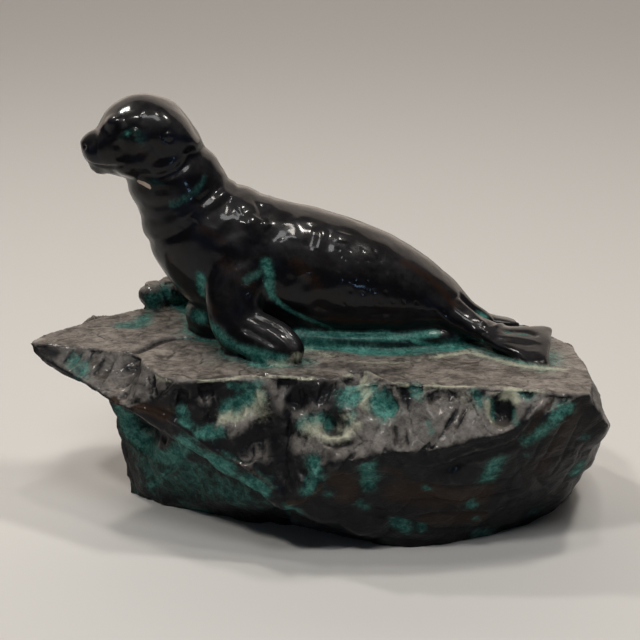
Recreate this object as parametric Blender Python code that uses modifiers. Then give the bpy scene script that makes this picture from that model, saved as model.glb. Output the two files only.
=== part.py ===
"""A seal resting on a rock, cast in one piece in glazed ceramic.

Standalone Blender script: blender --background --python part.py
Units are metres, +Z is up. The seal faces -X, and its left side faces -Y.
The origin is on the ground under the middle of the casting.
"""
import math

import bmesh
import bpy
import numpy as np
from mathutils import Matrix, Vector, noise
from mathutils.bvhtree import BVHTree

# Driving dimensions, in metres
ROCK_TOP = 0.078          # ground to the flat top that the seal lies on
SEAL_MIDLINE = 0.016      # the seal's own middle plane, along Y
HEAD_PIVOT_X = -0.070     # the head turns about an upright line through the skull
CRAG_SIZE = 0.021         # spacing of the broken faces of the rock
CRAG_DEPTH = 0.0016       # how far they stand in or out
GRIT_SIZE = 0.008         # spacing of the small lumps
GRIT_DEPTH = 0.0005
SEAL_SKIN = 0.0012        # skin this close to the seal's own form counts as seal

# Angles and shares
HEAD_TURN = 8.0           # degrees, head turned towards -Y
FLAT_TOP_ROUGHNESS = 0.35  # share of the rock's roughness that its worn flat top has
FLAT_TOP_TILT = 0.8       # faces whose upward part is over this are the flat top
CRAG_LEVEL = 0.35         # share of a crag's depth that stands out

# How finely the forms are built
GRID = 0.0012             # grid that joins the forms into one skin
SKIN_PASSES = 4           # smoothing of that skin, which leaves soft fillets
TRIANGLES = 12400         # faces of the skin, before its underside is cut flat
UNDERGROUND = 0.006       # how far blocks go under the ground before the flat cut
RING_SIDES = 40
RING_STEPS = 8            # rings to each stretch between two rows
THINNEST = 0.0005         # least half width of a ring
ROUND_SEGMENTS = 24

# The seal. Heights are above the rock's flat top.
# Trunk from inside the skull to the tail: x, y off the midline, height, half width, half depth
TRUNK = [
    (-0.0700, 0.0, 0.0820, 0.0165, 0.0165),
    (-0.0665, 0.0, 0.0762, 0.0180, 0.0188),
    (-0.0640, 0.0, 0.0710, 0.0185, 0.0198),
    (-0.0608, 0.0, 0.0657, 0.0190, 0.0207),
    (-0.0573, 0.0, 0.0577, 0.0203, 0.0226),
    (-0.0535, 0.0, 0.0512, 0.0220, 0.0248),
    (-0.0480, 0.0, 0.0448, 0.0240, 0.0270),
    (-0.0385, 0.0, 0.0364, 0.0260, 0.0294),
    (-0.0235, 0.0, 0.0290, 0.0272, 0.0308),
    (-0.0060, 0.0, 0.0262, 0.0276, 0.0296),
    (0.0100, 0.0, 0.0233, 0.0275, 0.0272),
    (0.0250, 0.0, 0.0197, 0.0260, 0.0244),
    (0.0380, 0.0, 0.0157, 0.0232, 0.0205),
    (0.0490, 0.0, 0.0117, 0.0190, 0.0162),
    (0.0580, 0.0, 0.0080, 0.0140, 0.0124),
    (0.0660, 0.0, 0.0055, 0.0092, 0.0080),
    (0.0730, 0.0, 0.0040, 0.0055, 0.0046),
    (0.0780, 0.0, 0.0030, 0.0020, 0.0020),
]
# Rings pressed into the neck: place along the trunk's rows, and depth
NECK_FOLDS = [(3.05, 0.0008), (3.60, 0.0012), (4.60, 0.0015), (1.30, 0.0008)]
FOLD_REACH = 0.22         # half width of a fold, in rows
# Folds pressed into both flanks: x and height of their points, then radius and depth
FLANK_FOLDS = [
    # jowl, between head and neck
    ([(-0.0780, 0.0765), (-0.0693, 0.0743), (-0.0596, 0.0771), (-0.0564, 0.0800), (-0.0543, 0.0843),
      (-0.0541, 0.0886)], 0.0017, 0.0013),
    # two across the neck
    ([(-0.0423, 0.0697), (-0.0454, 0.0671), (-0.0490, 0.0634), (-0.0511, 0.0619)], 0.0015, 0.0014),
    ([(-0.0367, 0.0638), (-0.0398, 0.0605), (-0.0435, 0.0567), (-0.0460, 0.0529)], 0.0018, 0.0016),
    # behind the shoulder
    ([(-0.0233, 0.0505), (-0.0250, 0.0473), (-0.0233, 0.0438), (-0.0224, 0.0402), (-0.0220, 0.0345)],
     0.0017, 0.0016),
    # across the ribs
    ([(-0.0026, 0.0529), (-0.0030, 0.0499), (-0.0038, 0.0469), (-0.0051, 0.0437)], 0.0015, 0.0012),
    # along the belly
    ([(-0.0230, 0.0300), (-0.0205, 0.0243), (-0.0135, 0.0176), (-0.0025, 0.0120), (0.0045, 0.0085),
      (0.0150, 0.0075), (0.0270, 0.0070), (0.0355, 0.0055), (0.0450, 0.0020)], 0.0016, 0.0012),
    # on the hip
    ([(0.0606, 0.0195), (0.0639, 0.0156), (0.0671, 0.0121), (0.0708, 0.0087)], 0.0015, 0.0013),
]
FOLD_STEPS = 12           # steps between two points of a fold
# Belly fold that spreads on the rock: x, y off the midline, height, half width, half depth
BELLY = [
    (-0.0590, 0.0, 0.0050, 0.0060, 0.0060),
    (-0.0520, 0.0, 0.0065, 0.0150, 0.0095),
    (-0.0400, 0.0, 0.0065, 0.0215, 0.0100),
    (-0.0250, 0.0, 0.0050, 0.0245, 0.0095),
    (-0.0100, 0.0, 0.0035, 0.0258, 0.0085),
    (0.0120, 0.0, 0.0030, 0.0264, 0.0080),
    (0.0320, 0.0, 0.0025, 0.0254, 0.0075),
    (0.0480, 0.0, 0.0022, 0.0228, 0.0068),
    (0.0620, 0.0, 0.0018, 0.0180, 0.0058),
    (0.0730, 0.0, 0.0010, 0.0100, 0.0040),
]
# Head from the nose back: x, height of its top, height of its underside, half width
HEAD = [
    (-0.1016, 0.0850, 0.0828, 0.0020),
    (-0.1008, 0.0866, 0.0804, 0.0048),
    (-0.0992, 0.0882, 0.0784, 0.0072),
    (-0.0970, 0.0898, 0.0764, 0.0088),
    (-0.0950, 0.0920, 0.0748, 0.0100),
    (-0.0932, 0.0956, 0.0735, 0.0115),
    (-0.0900, 0.1002, 0.0721, 0.0136),
    (-0.0850, 0.1038, 0.0708, 0.0158),
    (-0.0790, 0.1058, 0.0712, 0.0176),
    (-0.0725, 0.1060, 0.0722, 0.0186),
    (-0.0665, 0.1044, 0.0738, 0.0187),
    (-0.0610, 0.1008, 0.0762, 0.0178),
    (-0.0560, 0.0952, 0.0795, 0.0156),
    (-0.0522, 0.0892, 0.0825, 0.0112),
    (-0.0505, 0.0862, 0.0845, 0.0050),
]
# Rounded forms of the head: x, y off the midline, height, and the three half sizes
BROW = (-0.0850, 0.0092, 0.0965, 0.0060, 0.0045, 0.0036)
CHEEK = (-0.0790, 0.0090, 0.0800, 0.0110, 0.0088, 0.0078)
LIP = (-0.0955, 0.0042, 0.0830, 0.0056, 0.0050, 0.0048)
EYE = (-0.0838, 0.0136, 0.0930, 0.0030, 0.0022, 0.0028)
CHIN = (-0.0925, 0.0, 0.0758, 0.0066, 0.0060, 0.0032)
NOSE = (-0.0998, 0.0, 0.0862, 0.0026, 0.0040, 0.0022)
SHOULDER_LUMP = (-0.0310, 0.0090, 0.0540, 0.0085, 0.0120, 0.0050)

# Flippers: x, y, height, half width, half thickness, and the direction of their width
FORE_ARM = [
    (-0.0300, 0.0060, 0.0450, 0.0145, 0.0115),
    (-0.0345, -0.0020, 0.0345, 0.0142, 0.0106),
    (-0.0365, -0.0080, 0.0245, 0.0126, 0.0094),
    (-0.0365, -0.0125, 0.0155, 0.0108, 0.0082),
    (-0.0348, -0.0150, 0.0075, 0.0092, 0.0072),
    (-0.0335, -0.0158, 0.0010, 0.0060, 0.0050),
]
ARM_ACROSS = (1.0, 0.0, 0.0)
FORE_FLIPPER = [
    (-0.0420, -0.0100, 0.0150, 0.0075, 0.0070),
    (-0.0350, -0.0145, 0.0128, 0.0096, 0.0068),
    (-0.0270, -0.0188, 0.0100, 0.0105, 0.0058),
    (-0.0190, -0.0224, 0.0076, 0.0100, 0.0050),
    (-0.0125, -0.0248, 0.0057, 0.0076, 0.0041),
    (-0.0085, -0.0261, 0.0044, 0.0048, 0.0032),
    (-0.0068, -0.0266, 0.0039, 0.0024, 0.0022),
]
FORE_ACROSS = (-0.15, 0.62, 0.74)
HIND_FLIPPER = [
    (0.0500, 0.0080, 0.0140, 0.0100, 0.0085),
    (0.0600, 0.0040, 0.0095, 0.0080, 0.0066),
    (0.0700, -0.0010, 0.0060, 0.0076, 0.0048),
    (0.0790, -0.0055, 0.0040, 0.0102, 0.0037),
    (0.0880, -0.0085, 0.0030, 0.0140, 0.0030),
    (0.0960, -0.0105, 0.0026, 0.0170, 0.0025),
    (0.0992, -0.0112, 0.0024, 0.0164, 0.0020),
]
HIND_ACROSS = (-0.24, 0.95, 0.15)
FAR_HIND_FLIPPER = [
    (0.0500, 0.0240, 0.0110, 0.0095, 0.0080),
    (0.0600, 0.0265, 0.0055, 0.0075, 0.0055),
    (0.0690, 0.0290, 0.0010, 0.0070, 0.0040),
    (0.0770, 0.0308, -0.0015, 0.0092, 0.0033),
    (0.0840, 0.0318, -0.0026, 0.0112, 0.0027),
    (0.0890, 0.0322, -0.0032, 0.0106, 0.0020),
]
FAR_HIND_ACROSS = (-0.05, 0.96, -0.28)

# The rock, as blocks. Upper corners: x, y, drop below the flat top.
TIP_RIM = [
    (-0.1270, -0.0020, -0.0005), (-0.1225, 0.0060, -0.0012), (-0.1090, 0.0150, -0.0018),
    (-0.0950, 0.0260, -0.0020), (-0.0840, 0.0380, -0.0020), (-0.0600, 0.0500, -0.0010),
    (-0.0600, 0.0000, 0.0), (-0.0780, -0.0150, -0.0005), (-0.0890, -0.0115, -0.0010),
    (-0.1000, -0.0065, -0.0010), (-0.1130, 0.0000, -0.0010),
]
# Lower corners: x, y, height above the ground
TIP_FOOT = [
    (-0.1262, -0.0035, 0.0735), (-0.1120, -0.0130, 0.0700), (-0.0990, -0.0240, 0.0660),
    (-0.0870, -0.0330, 0.0618), (-0.0780, -0.0385, 0.0605), (-0.0600, -0.0300, 0.0500),
    (-0.0650, 0.0400, 0.0450), (-0.0950, 0.0210, 0.0620), (-0.1120, 0.0100, 0.0690),
]
SLAB_RIM = [
    (-0.0780, -0.0150, 0.0000), (-0.0720, -0.0290, 0.0), (-0.0650, -0.0395, 0.0005),
    (-0.0570, -0.0450, 0.0005), (-0.0300, -0.0435, 0.0), (0.0300, -0.0330, 0.0),
    (0.0200, 0.0560, 0.0), (-0.0600, 0.0540, -0.0010), (-0.0800, 0.0420, -0.0020),
]
SLAB_FOOT = [
    (-0.0850, -0.0340, 0.0620), (-0.0775, -0.0385, 0.0605), (-0.0610, -0.0440, 0.0575),
    (-0.0480, -0.0480, 0.0500), (-0.0350, -0.0515, 0.0430), (-0.0250, -0.0540, 0.0340),
    (-0.0150, -0.0560, 0.0240), (0.0100, -0.0480, 0.0200), (0.0200, 0.0400, 0.0200),
    (-0.0300, 0.0400, 0.0300), (-0.0700, 0.0400, 0.0480),
]
FOOT_RIM = [
    (-0.0955, 0.0070, 0.0240), (-0.0770, -0.0080, 0.0250), (-0.0560, -0.0300, 0.0250),
    (-0.0300, -0.0430, 0.0380), (-0.0150, -0.0490, 0.0530), (0.0300, -0.0300, 0.0400),
    (0.0300, 0.0480, 0.0240), (-0.0850, 0.0380, 0.0240),
]
FOOT_GROUND = [
    (-0.0870, 0.0090, 0.0), (-0.0610, -0.0030, 0.0), (-0.0340, -0.0130, 0.0),
    (-0.0080, -0.0165, 0.0), (0.0300, -0.0150, 0.0), (0.0300, 0.0460, 0.0),
    (-0.0500, 0.0460, 0.0), (-0.0800, 0.0340, 0.0),
]
MAIN_RIM = [
    (-0.0100, -0.0420, 0.0), (0.0330, -0.0430, 0.0005), (0.0600, -0.0480, 0.0010),
    (0.0900, -0.0530, 0.0010), (0.1080, -0.0560, 0.0015), (0.1125, -0.0430, 0.0020),
    (0.1130, -0.0190, 0.0025), (0.1110, 0.0000, 0.0030), (0.1050, 0.0140, 0.0030),
    (0.0950, 0.0270, 0.0030), (0.0780, 0.0390, 0.0020), (0.0400, 0.0550, 0.0),
    (-0.0100, 0.0550, 0.0),
]
MAIN_BODY = [
    (-0.0140, -0.0560, 0.0260), (-0.0060, -0.0610, 0.0400), (0.0080, -0.0640, 0.0500),
    (0.0260, -0.0650, 0.0540), (0.0480, -0.0655, 0.0560), (0.0720, -0.0630, 0.0610),
    (0.0970, -0.0560, 0.0740), (0.1190, -0.0480, 0.0590), (0.1240, -0.0250, 0.0500),
    (0.1290, 0.0000, 0.0380), (0.1275, 0.0200, 0.0360), (0.1235, 0.0040, 0.0190),
    (0.1120, 0.0450, 0.0400), (0.0800, 0.0620, 0.0400), (0.0200, 0.0620, 0.0350),
]
MAIN_GROUND = [
    (-0.0090, -0.0165, 0.0), (0.0010, -0.0205, 0.0), (0.0140, -0.0290, 0.0),
    (0.0300, -0.0355, 0.0), (0.0470, -0.0400, 0.0), (0.0650, -0.0335, 0.0),
    (0.0840, -0.0230, 0.0), (0.1010, -0.0100, 0.0), (0.1120, 0.0060, 0.0),
    (0.1090, 0.0280, 0.0), (0.0900, 0.0440, 0.0), (0.0600, 0.0520, 0.0),
    (0.0000, 0.0500, 0.0),
]
# Rubble on the far rim behind the chest: x, y, height above the flat top, half size
RUBBLE = [
    (-0.0765, 0.0430, 0.0060, 0.0080),
    (-0.0690, 0.0460, 0.0075, 0.0078),
    (-0.0580, 0.0480, 0.0060, 0.0085),
    (-0.0450, 0.0480, 0.0030, 0.0080),
]
# Knocks in the rock: x, y, drop below the flat top, radius, depth. A depth under 0 is a lump.
KNOCKS = [
    (0.0142, -0.0400, 0.0010, 0.0080, 0.0060),
    (-0.0350, -0.0450, 0.0120, 0.0120, 0.0035),
    (0.0053, -0.0530, 0.0170, 0.0090, 0.0065),
    (0.0060, -0.0600, 0.0280, 0.0080, -0.0020),
    (0.0738, -0.0550, 0.0110, 0.0105, 0.0055),
    (0.0240, -0.0520, 0.0070, 0.0090, 0.0030),
    (0.0500, -0.0540, 0.0060, 0.0080, 0.0025),
    (-0.0150, -0.0450, 0.0150, 0.0090, -0.0030),
    (-0.0150, -0.0520, 0.0300, 0.0110, -0.0030),
    (-0.0260, -0.0480, 0.0260, 0.0110, 0.0030),
    (-0.0761, -0.0010, 0.0400, 0.0150, 0.0085),
    (-0.0860, -0.0200, 0.0060, 0.0110, 0.0025),
    (0.0960, -0.0560, 0.0060, 0.0080, 0.0030),
    (0.1180, 0.0200, 0.0300, 0.0260, -0.0030),
    (0.0600, 0.0620, 0.0300, 0.0280, 0.0060),
    (-0.0300, 0.0560, 0.0250, 0.0260, 0.0050),
    (0.0100, 0.0600, 0.0600, 0.0240, 0.0050),
    # smaller scoops in the broken front
    (-0.0930, -0.0180, 0.0055, 0.0090, 0.0014),
    (-0.0700, -0.0370, 0.0060, 0.0080, 0.0018),
    (-0.0570, -0.0440, 0.0090, 0.0085, 0.0018),
    (-0.0460, -0.0450, 0.0060, 0.0070, 0.0015),
    (-0.0440, -0.0470, 0.0160, 0.0075, 0.0016),
    (-0.0285, -0.0435, 0.0090, 0.0080, 0.0015),
    (-0.0075, -0.0450, 0.0080, 0.0065, 0.0022),
    (0.0020, -0.0465, 0.0050, 0.0075, 0.0015),
    (0.0050, -0.0490, 0.0160, 0.0040, 0.0026),
    (0.0185, -0.0475, 0.0035, 0.0100, 0.0018),
    (0.0347, -0.0480, 0.0035, 0.0050, 0.0026),
    (0.0325, -0.0590, 0.0180, 0.0110, 0.0010),
    (0.0740, -0.0535, 0.0100, 0.0090, 0.0018),
]


def remove_everything():
    """Start from an empty scene."""
    for item in list(bpy.data.objects):
        bpy.data.objects.remove(item, do_unlink=True)


def spline(rows, steps):
    """Read a smooth curve through the rows, with this many steps to each stretch."""
    rows = np.array(rows, dtype=float)
    ends = [2 * rows[0] - rows[1], 2 * rows[-1] - rows[-2]]
    knots = np.vstack([ends[0], rows, ends[1]])
    out = []
    for before, start, stop, after in zip(knots, knots[1:], knots[2:], knots[3:]):
        for step in range(steps):
            t = step / steps
            out.append(start + 0.5 * t * (
                stop - before
                + t * (2 * before - 5 * start + 4 * stop - after)
                + t * t * (3 * start - 3 * stop + after - before)
            ))
    out.append(rows[-1])
    return np.array(out)


def add_rings(bm, rings):
    """Skin a list of closed rings, and close both ends on their middles."""
    rows = [[bm.verts.new(point) for point in ring] for ring in rings]
    for here, there in zip(rows, rows[1:]):
        for i, vert in enumerate(here):
            j = (i + 1) % len(here)
            bm.faces.new((vert, here[j], there[j], there[i]))
    for row, flip in ((rows[0], True), (rows[-1], False)):
        middle = bm.verts.new(sum((vert.co for vert in row), Vector()) / len(row))
        for i, vert in enumerate(row):
            pair = (vert, row[(i + 1) % len(row)])
            bm.faces.new((middle, *(reversed(pair) if flip else pair)))


def add_limb(bm, rows, across, folds=()):
    """Loft flattened rings along a spine: x, y, z, half width, half thickness."""
    line = spline(rows, RING_STEPS)
    heading = np.gradient(line[:, :3], axis=0)
    rings = []
    for number, (point, ahead) in enumerate(zip(line, heading)):
        ahead = Vector(ahead).normalized()
        side = Vector(across)
        side = (side - ahead * side.dot(ahead)).normalized()
        face = ahead.cross(side)
        middle = Vector(point[:3])
        pressed = sum(
            depth * math.exp(-((number / RING_STEPS - place) / FOLD_REACH) ** 2)
            for place, depth in folds
        )
        wide = max(point[3], THINNEST) - pressed
        deep = max(point[4], THINNEST) - pressed
        ring = []
        for i in range(RING_SIDES):
            turn = 2 * math.pi * i / RING_SIDES
            ring.append(middle + side * wide * math.cos(turn) + face * deep * math.sin(turn))
        rings.append(ring)
    add_rings(bm, rings)


def add_round(bm, form, side=1):
    """Add a rounded lump on the seal: its place, on either side of the midline, and half sizes."""
    place = Vector((form[0], SEAL_MIDLINE + side * form[1], ROCK_TOP + form[2]))
    sizes = Matrix.Diagonal((form[3], form[4], form[5], 1.0))
    bmesh.ops.create_uvsphere(
        bm, u_segments=ROUND_SEGMENTS, v_segments=ROUND_SEGMENTS // 2, radius=1.0,
        matrix=Matrix.Translation(place) @ sizes,
    )


def on_midline(rows):
    """Move rows measured off the midline and above the rock's top into place."""
    return [(r[0], SEAL_MIDLINE + r[1], ROCK_TOP + r[2], *r[3:]) for r in rows]


def above_rock(rows):
    """Raise rows measured above the rock's top into place."""
    return [(r[0], r[1], ROCK_TOP + r[2], *r[3:]) for r in rows]


def add_head(bm):
    """Loft upright rings for the head, add its rounded forms, and turn it a little."""
    first = len(bm.verts)
    rings = []
    for x, top, under, wide in spline(HEAD, RING_STEPS):
        middle = ROCK_TOP + (top + under) / 2
        deep = max((top - under) / 2, THINNEST)
        ring = []
        for i in range(RING_SIDES):
            turn = -2 * math.pi * i / RING_SIDES
            ring.append(Vector((
                x,
                SEAL_MIDLINE + max(wide, THINNEST) * math.cos(turn),
                middle + deep * math.sin(turn),
            )))
        rings.append(ring)
    add_rings(bm, rings)
    for form in (BROW, CHEEK, LIP, EYE):
        add_round(bm, form)
        add_round(bm, form, -1)
    for form in (CHIN, NOSE):
        add_round(bm, form)
    pivot = Vector((HEAD_PIVOT_X, SEAL_MIDLINE, 0))
    bm.verts.ensure_lookup_table()
    bmesh.ops.rotate(
        bm, verts=bm.verts[first:], cent=pivot,
        matrix=Matrix.Rotation(math.radians(HEAD_TURN), 3, 'Z'),
    )


def far_side(rows):
    """Mirror a limb to the seal's far side."""
    return [(r[0], 2 * SEAL_MIDLINE - r[1], *r[2:]) for r in rows]


def seal_forms():
    """All the seal's forms, overlapping, in one mesh."""
    bm = bmesh.new()
    add_limb(bm, on_midline(TRUNK), (0, 1, 0), NECK_FOLDS)
    add_limb(bm, on_midline(BELLY), (0, 1, 0))
    add_head(bm)
    add_round(bm, SHOULDER_LUMP)
    add_round(bm, SHOULDER_LUMP, -1)
    for rows, across in ((FORE_ARM, ARM_ACROSS), (FORE_FLIPPER, FORE_ACROSS)):
        near = above_rock(rows)
        add_limb(bm, near, across)
        add_limb(bm, far_side(near), (across[0], -across[1], across[2]))
    add_limb(bm, above_rock(HIND_FLIPPER), HIND_ACROSS)
    add_limb(bm, above_rock(FAR_HIND_FLIPPER), FAR_HIND_ACROSS)
    bmesh.ops.recalc_face_normals(bm, faces=bm.faces)
    return bm


def add_block(bm, rim, foot):
    """Add the convex block round upper corners, given by their drop, and lower corners.

    Corners on the ground go under it, and the flat cut comes later.
    """
    points = [(x, y, ROCK_TOP - drop) for x, y, drop in rim]
    points += [(x, y, z if z > 0 else -UNDERGROUND) for x, y, z in foot]
    block = bmesh.new()
    for point in points:
        block.verts.new(point)
    made = bmesh.ops.convex_hull(block, input=block.verts)
    spare = [g for g in made["geom_interior"] if isinstance(g, bmesh.types.BMVert)]
    bmesh.ops.delete(block, geom=spare, context='VERTS')
    bmesh.ops.recalc_face_normals(block, faces=block.faces)
    copy_into(bm, block)


def copy_into(bm, other):
    """Add another mesh's faces to this one."""
    new = {vert: bm.verts.new(vert.co) for vert in other.verts}
    for face in other.faces:
        bm.faces.new([new[vert] for vert in face.verts])
    other.free()


def rock_forms():
    """All the rock's blocks and rubble, overlapping, in one mesh."""
    bm = bmesh.new()
    add_block(bm, TIP_RIM, TIP_FOOT)
    add_block(bm, SLAB_RIM, SLAB_FOOT)
    add_block(bm, FOOT_RIM, FOOT_GROUND)
    add_block(bm, MAIN_RIM, MAIN_BODY + MAIN_GROUND)
    for x, y, height, size in RUBBLE:
        place = Matrix.Translation((x, y, ROCK_TOP + height))
        bmesh.ops.create_icosphere(bm, subdivisions=2, radius=size, matrix=place)
    bmesh.ops.recalc_face_normals(bm, faces=bm.faces)
    return bm


def skin(forms):
    """Join overlapping forms into one smooth closed skin on the grid."""
    mesh = bpy.data.meshes.new("forms")
    forms.to_mesh(mesh)
    forms.free()
    item = bpy.data.objects.new("forms", mesh)
    bpy.context.scene.collection.objects.link(item)
    remesh = item.modifiers.new("join", 'REMESH')
    remesh.mode = 'VOXEL'
    remesh.voxel_size = GRID
    soften = item.modifiers.new("soften", 'SMOOTH')
    soften.factor = 0.5
    soften.iterations = SKIN_PASSES
    graph = bpy.context.evaluated_depsgraph_get()
    joined = bpy.data.meshes.new_from_object(item.evaluated_get(graph))
    bpy.data.objects.remove(item, do_unlink=True)
    return joined


def break_rock(mesh, seal_tree):
    """Give the rock its broken faces, lumps and knocks, and leave the seal smooth."""
    points = [vert.co.copy() for vert in mesh.vertices]
    facing = [vert.normal.copy() for vert in mesh.vertices]
    for vert, point, face in zip(mesh.vertices, points, facing):
        gap = seal_tree.find_nearest(point)[3]
        rough = min(max(gap / SEAL_SKIN - 1, 0.0), 2.0) / 2
        if rough == 0.0:
            continue
        near, second = noise.voronoi(point / CRAG_SIZE)[0][:2]
        out = 2 * CRAG_DEPTH * (second - near - CRAG_LEVEL)
        out += GRIT_DEPTH * noise.noise(point / GRIT_SIZE)
        if face.z > FLAT_TOP_TILT:
            out *= FLAT_TOP_ROUGHNESS
        for x, y, drop, radius, depth in KNOCKS:
            reach = (point - Vector((x, y, ROCK_TOP - drop))).length / radius
            if reach < 1:
                out -= depth * (1 - reach * reach) ** 2
        vert.co = point + face * out * rough


def fold_flanks(mesh, seal_tree):
    """Press the folds into both sides of the seal."""
    folds = [(spline(path, FOLD_STEPS), radius, depth) for path, radius, depth in FLANK_FOLDS]
    points = [vert.co.copy() for vert in mesh.vertices]
    facing = [vert.normal.copy() for vert in mesh.vertices]
    for vert, point, face in zip(mesh.vertices, points, facing):
        if point.z < ROCK_TOP or seal_tree.find_nearest(point)[3] > SEAL_SKIN:
            continue
        place = np.array((point.x, point.z - ROCK_TOP))
        pressed = 0.0
        for path, radius, depth in folds:
            reach = np.linalg.norm(path - place, axis=1).min() / radius
            pressed = max(pressed, depth * math.exp(-reach * reach))
        vert.co = point - face * pressed * min(2 * abs(face.y), 1.0)


def drop_crumbs(mesh):
    """Keep the one large body, without crumbs that came loose from the rubble."""
    bm = bmesh.new()
    bm.from_mesh(mesh)
    loose = set(bm.verts)
    bodies = []
    while loose:
        body = [loose.pop()]
        for vert in body:
            for edge in vert.link_edges:
                near = edge.other_vert(vert)
                if near in loose:
                    loose.remove(near)
                    body.append(near)
        bodies.append(body)
    bodies.sort(key=len)
    for body in bodies[:-1]:
        bmesh.ops.delete(bm, geom=body, context='VERTS')
    bm.to_mesh(mesh)
    bm.free()


def thin_out(mesh, wanted):
    """Cut the skin down to the wanted number of triangles, keeping its shape."""
    item = bpy.data.objects.new("skin", mesh)
    bpy.context.scene.collection.objects.link(item)
    item.modifiers.new("triangles", 'TRIANGULATE')
    fewer = item.modifiers.new("fewer", 'DECIMATE')
    fewer.ratio = min(1.0, wanted / (2 * len(mesh.polygons)))
    fewer.use_collapse_triangulate = True
    graph = bpy.context.evaluated_depsgraph_get()
    thin = bpy.data.meshes.new_from_object(item.evaluated_get(graph))
    bpy.data.objects.remove(item, do_unlink=True)
    return thin


def cut_flat(mesh):
    """Cut the underside flat on the ground and close it."""
    bm = bmesh.new()
    bm.from_mesh(mesh)
    everything = bm.verts[:] + bm.edges[:] + bm.faces[:]
    cut = bmesh.ops.bisect_plane(
        bm, geom=everything, dist=1e-6, plane_co=(0, 0, 0), plane_no=(0, 0, 1), clear_inner=True
    )
    rim = [g for g in cut["geom_cut"] if isinstance(g, bmesh.types.BMEdge)]
    bmesh.ops.contextual_create(bm, geom=rim)
    bmesh.ops.triangulate(bm, faces=[f for f in bm.faces if len(f.verts) > 3])
    bmesh.ops.recalc_face_normals(bm, faces=bm.faces)
    bm.to_mesh(mesh)
    bm.free()


def centre_on_ground(mesh):
    """Put the origin on the ground, under the middle of the casting."""
    corners = np.array([vert.co for vert in mesh.vertices])
    middle = (corners.min(axis=0) + corners.max(axis=0)) / 2
    mesh.transform(Matrix.Translation((-middle[0], -middle[1], 0)))


def glaze():
    """Dark glossy glaze."""
    material = bpy.data.materials.new("dark_glaze")
    material.use_nodes = True
    shader = material.node_tree.nodes["Principled BSDF"]
    shader.inputs["Base Color"].default_value = (0.012, 0.022, 0.022, 1)
    shader.inputs["Roughness"].default_value = 0.22
    shader.inputs["Metallic"].default_value = 0.0
    return material


def main():
    remove_everything()
    seal = seal_forms()
    seal_tree = BVHTree.FromBMesh(seal)
    whole = rock_forms()
    copy_into(whole, seal)
    mesh = skin(whole)
    drop_crumbs(mesh)
    break_rock(mesh, seal_tree)
    fold_flanks(mesh, seal_tree)
    mesh = thin_out(mesh, TRIANGLES)
    cut_flat(mesh)
    centre_on_ground(mesh)
    mesh.name = "seal_on_rock"
    mesh.materials.append(glaze())
    mesh.shade_smooth()
    casting = bpy.data.objects.new("seal_on_rock", mesh)
    home = bpy.data.collections.new("seal_figurine")
    bpy.context.scene.collection.children.link(home)
    home.objects.link(casting)


main()
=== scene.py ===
"""The looks of the seal figurine: its glazed skin with the modelled detail, floor, wall, lamps and camera.

Units are metres, +Z is up. The seal faces -X, and its left side faces -Y.
The skin repeats the casting's own forms on a finer grid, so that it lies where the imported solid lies.
"""
import math

import bmesh
import bpy
import numpy as np
from mathutils import Matrix, Vector, noise
from mathutils.bvhtree import BVHTree
from mathutils.kdtree import KDTree


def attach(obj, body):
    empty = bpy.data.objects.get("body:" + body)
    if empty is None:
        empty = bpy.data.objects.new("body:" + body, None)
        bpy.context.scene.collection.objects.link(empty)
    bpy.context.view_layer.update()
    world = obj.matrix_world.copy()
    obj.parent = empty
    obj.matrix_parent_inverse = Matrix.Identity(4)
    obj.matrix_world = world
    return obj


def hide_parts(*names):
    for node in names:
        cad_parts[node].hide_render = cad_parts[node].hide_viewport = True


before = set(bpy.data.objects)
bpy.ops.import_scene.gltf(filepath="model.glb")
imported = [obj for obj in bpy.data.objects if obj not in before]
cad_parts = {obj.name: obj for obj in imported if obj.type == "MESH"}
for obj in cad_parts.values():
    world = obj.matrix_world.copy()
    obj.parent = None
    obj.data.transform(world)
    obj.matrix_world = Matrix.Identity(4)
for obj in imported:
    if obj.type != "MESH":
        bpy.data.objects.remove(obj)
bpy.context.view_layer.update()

# The photograph's camera. Pixel coordinates below are in its 640 x 640 frame.
IMAGE_SIZE = 640
CAMERA_TARGET = (-0.0016, 0.0014, 0.0880)
CAMERA_DISTANCE = 0.65
CAMERA_ELEVATION = 20.0    # degrees
CAMERA_LENS = 84.0
SENSOR = 36.0

# The casting
BOX_MIDDLE = (0.00166, -0.00138)  # middle of the casting's box, in the axes that its forms are written in
ROCK_TOP = 0.078          # ground to the flat top that the seal lies on
SEAL_MIDLINE = 0.016      # the seal's own middle plane, along Y
HEAD_PIVOT_X = -0.070     # the head turns about an upright line through the skull
HEAD_TURN = 8.0           # degrees, head turned towards -Y
CRAG_SIZE = 0.021         # spacing of the broken faces of the rock
CRAG_DEPTH = 0.0016       # how far they stand in or out
CRAG_LEVEL = 0.35         # share of a crag's depth that stands out
GRIT_SIZE = 0.008         # spacing of the small lumps
GRIT_DEPTH = 0.0005
FLAT_TOP_ROUGHNESS = 0.35  # share of the rock's roughness that its worn flat top has
FLAT_TOP_TILT = 0.8       # faces whose upward part is over this are the flat top

# How finely the skin is built
GRID = 0.0006             # grid that joins the forms into one skin
SEAL_PASSES = 26          # smoothing of the seal's skin, which leaves soft fillets
ROCK_PASSES = 7
TRIANGLES = 216000        # faces of the finished skin, before its underside is cut flat
SEAL_KEEPS = 5e-6         # how strongly the thinning keeps the seal's faces rather than the rock's
RING_SIDES = 72
RING_STEPS = 14           # rings to each stretch between two rows
THINNEST = 0.0005         # least half width of a ring
ROUND_SEGMENTS = 32
FOLD_REACH = 0.22         # half width of a neck fold, in rows

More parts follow.
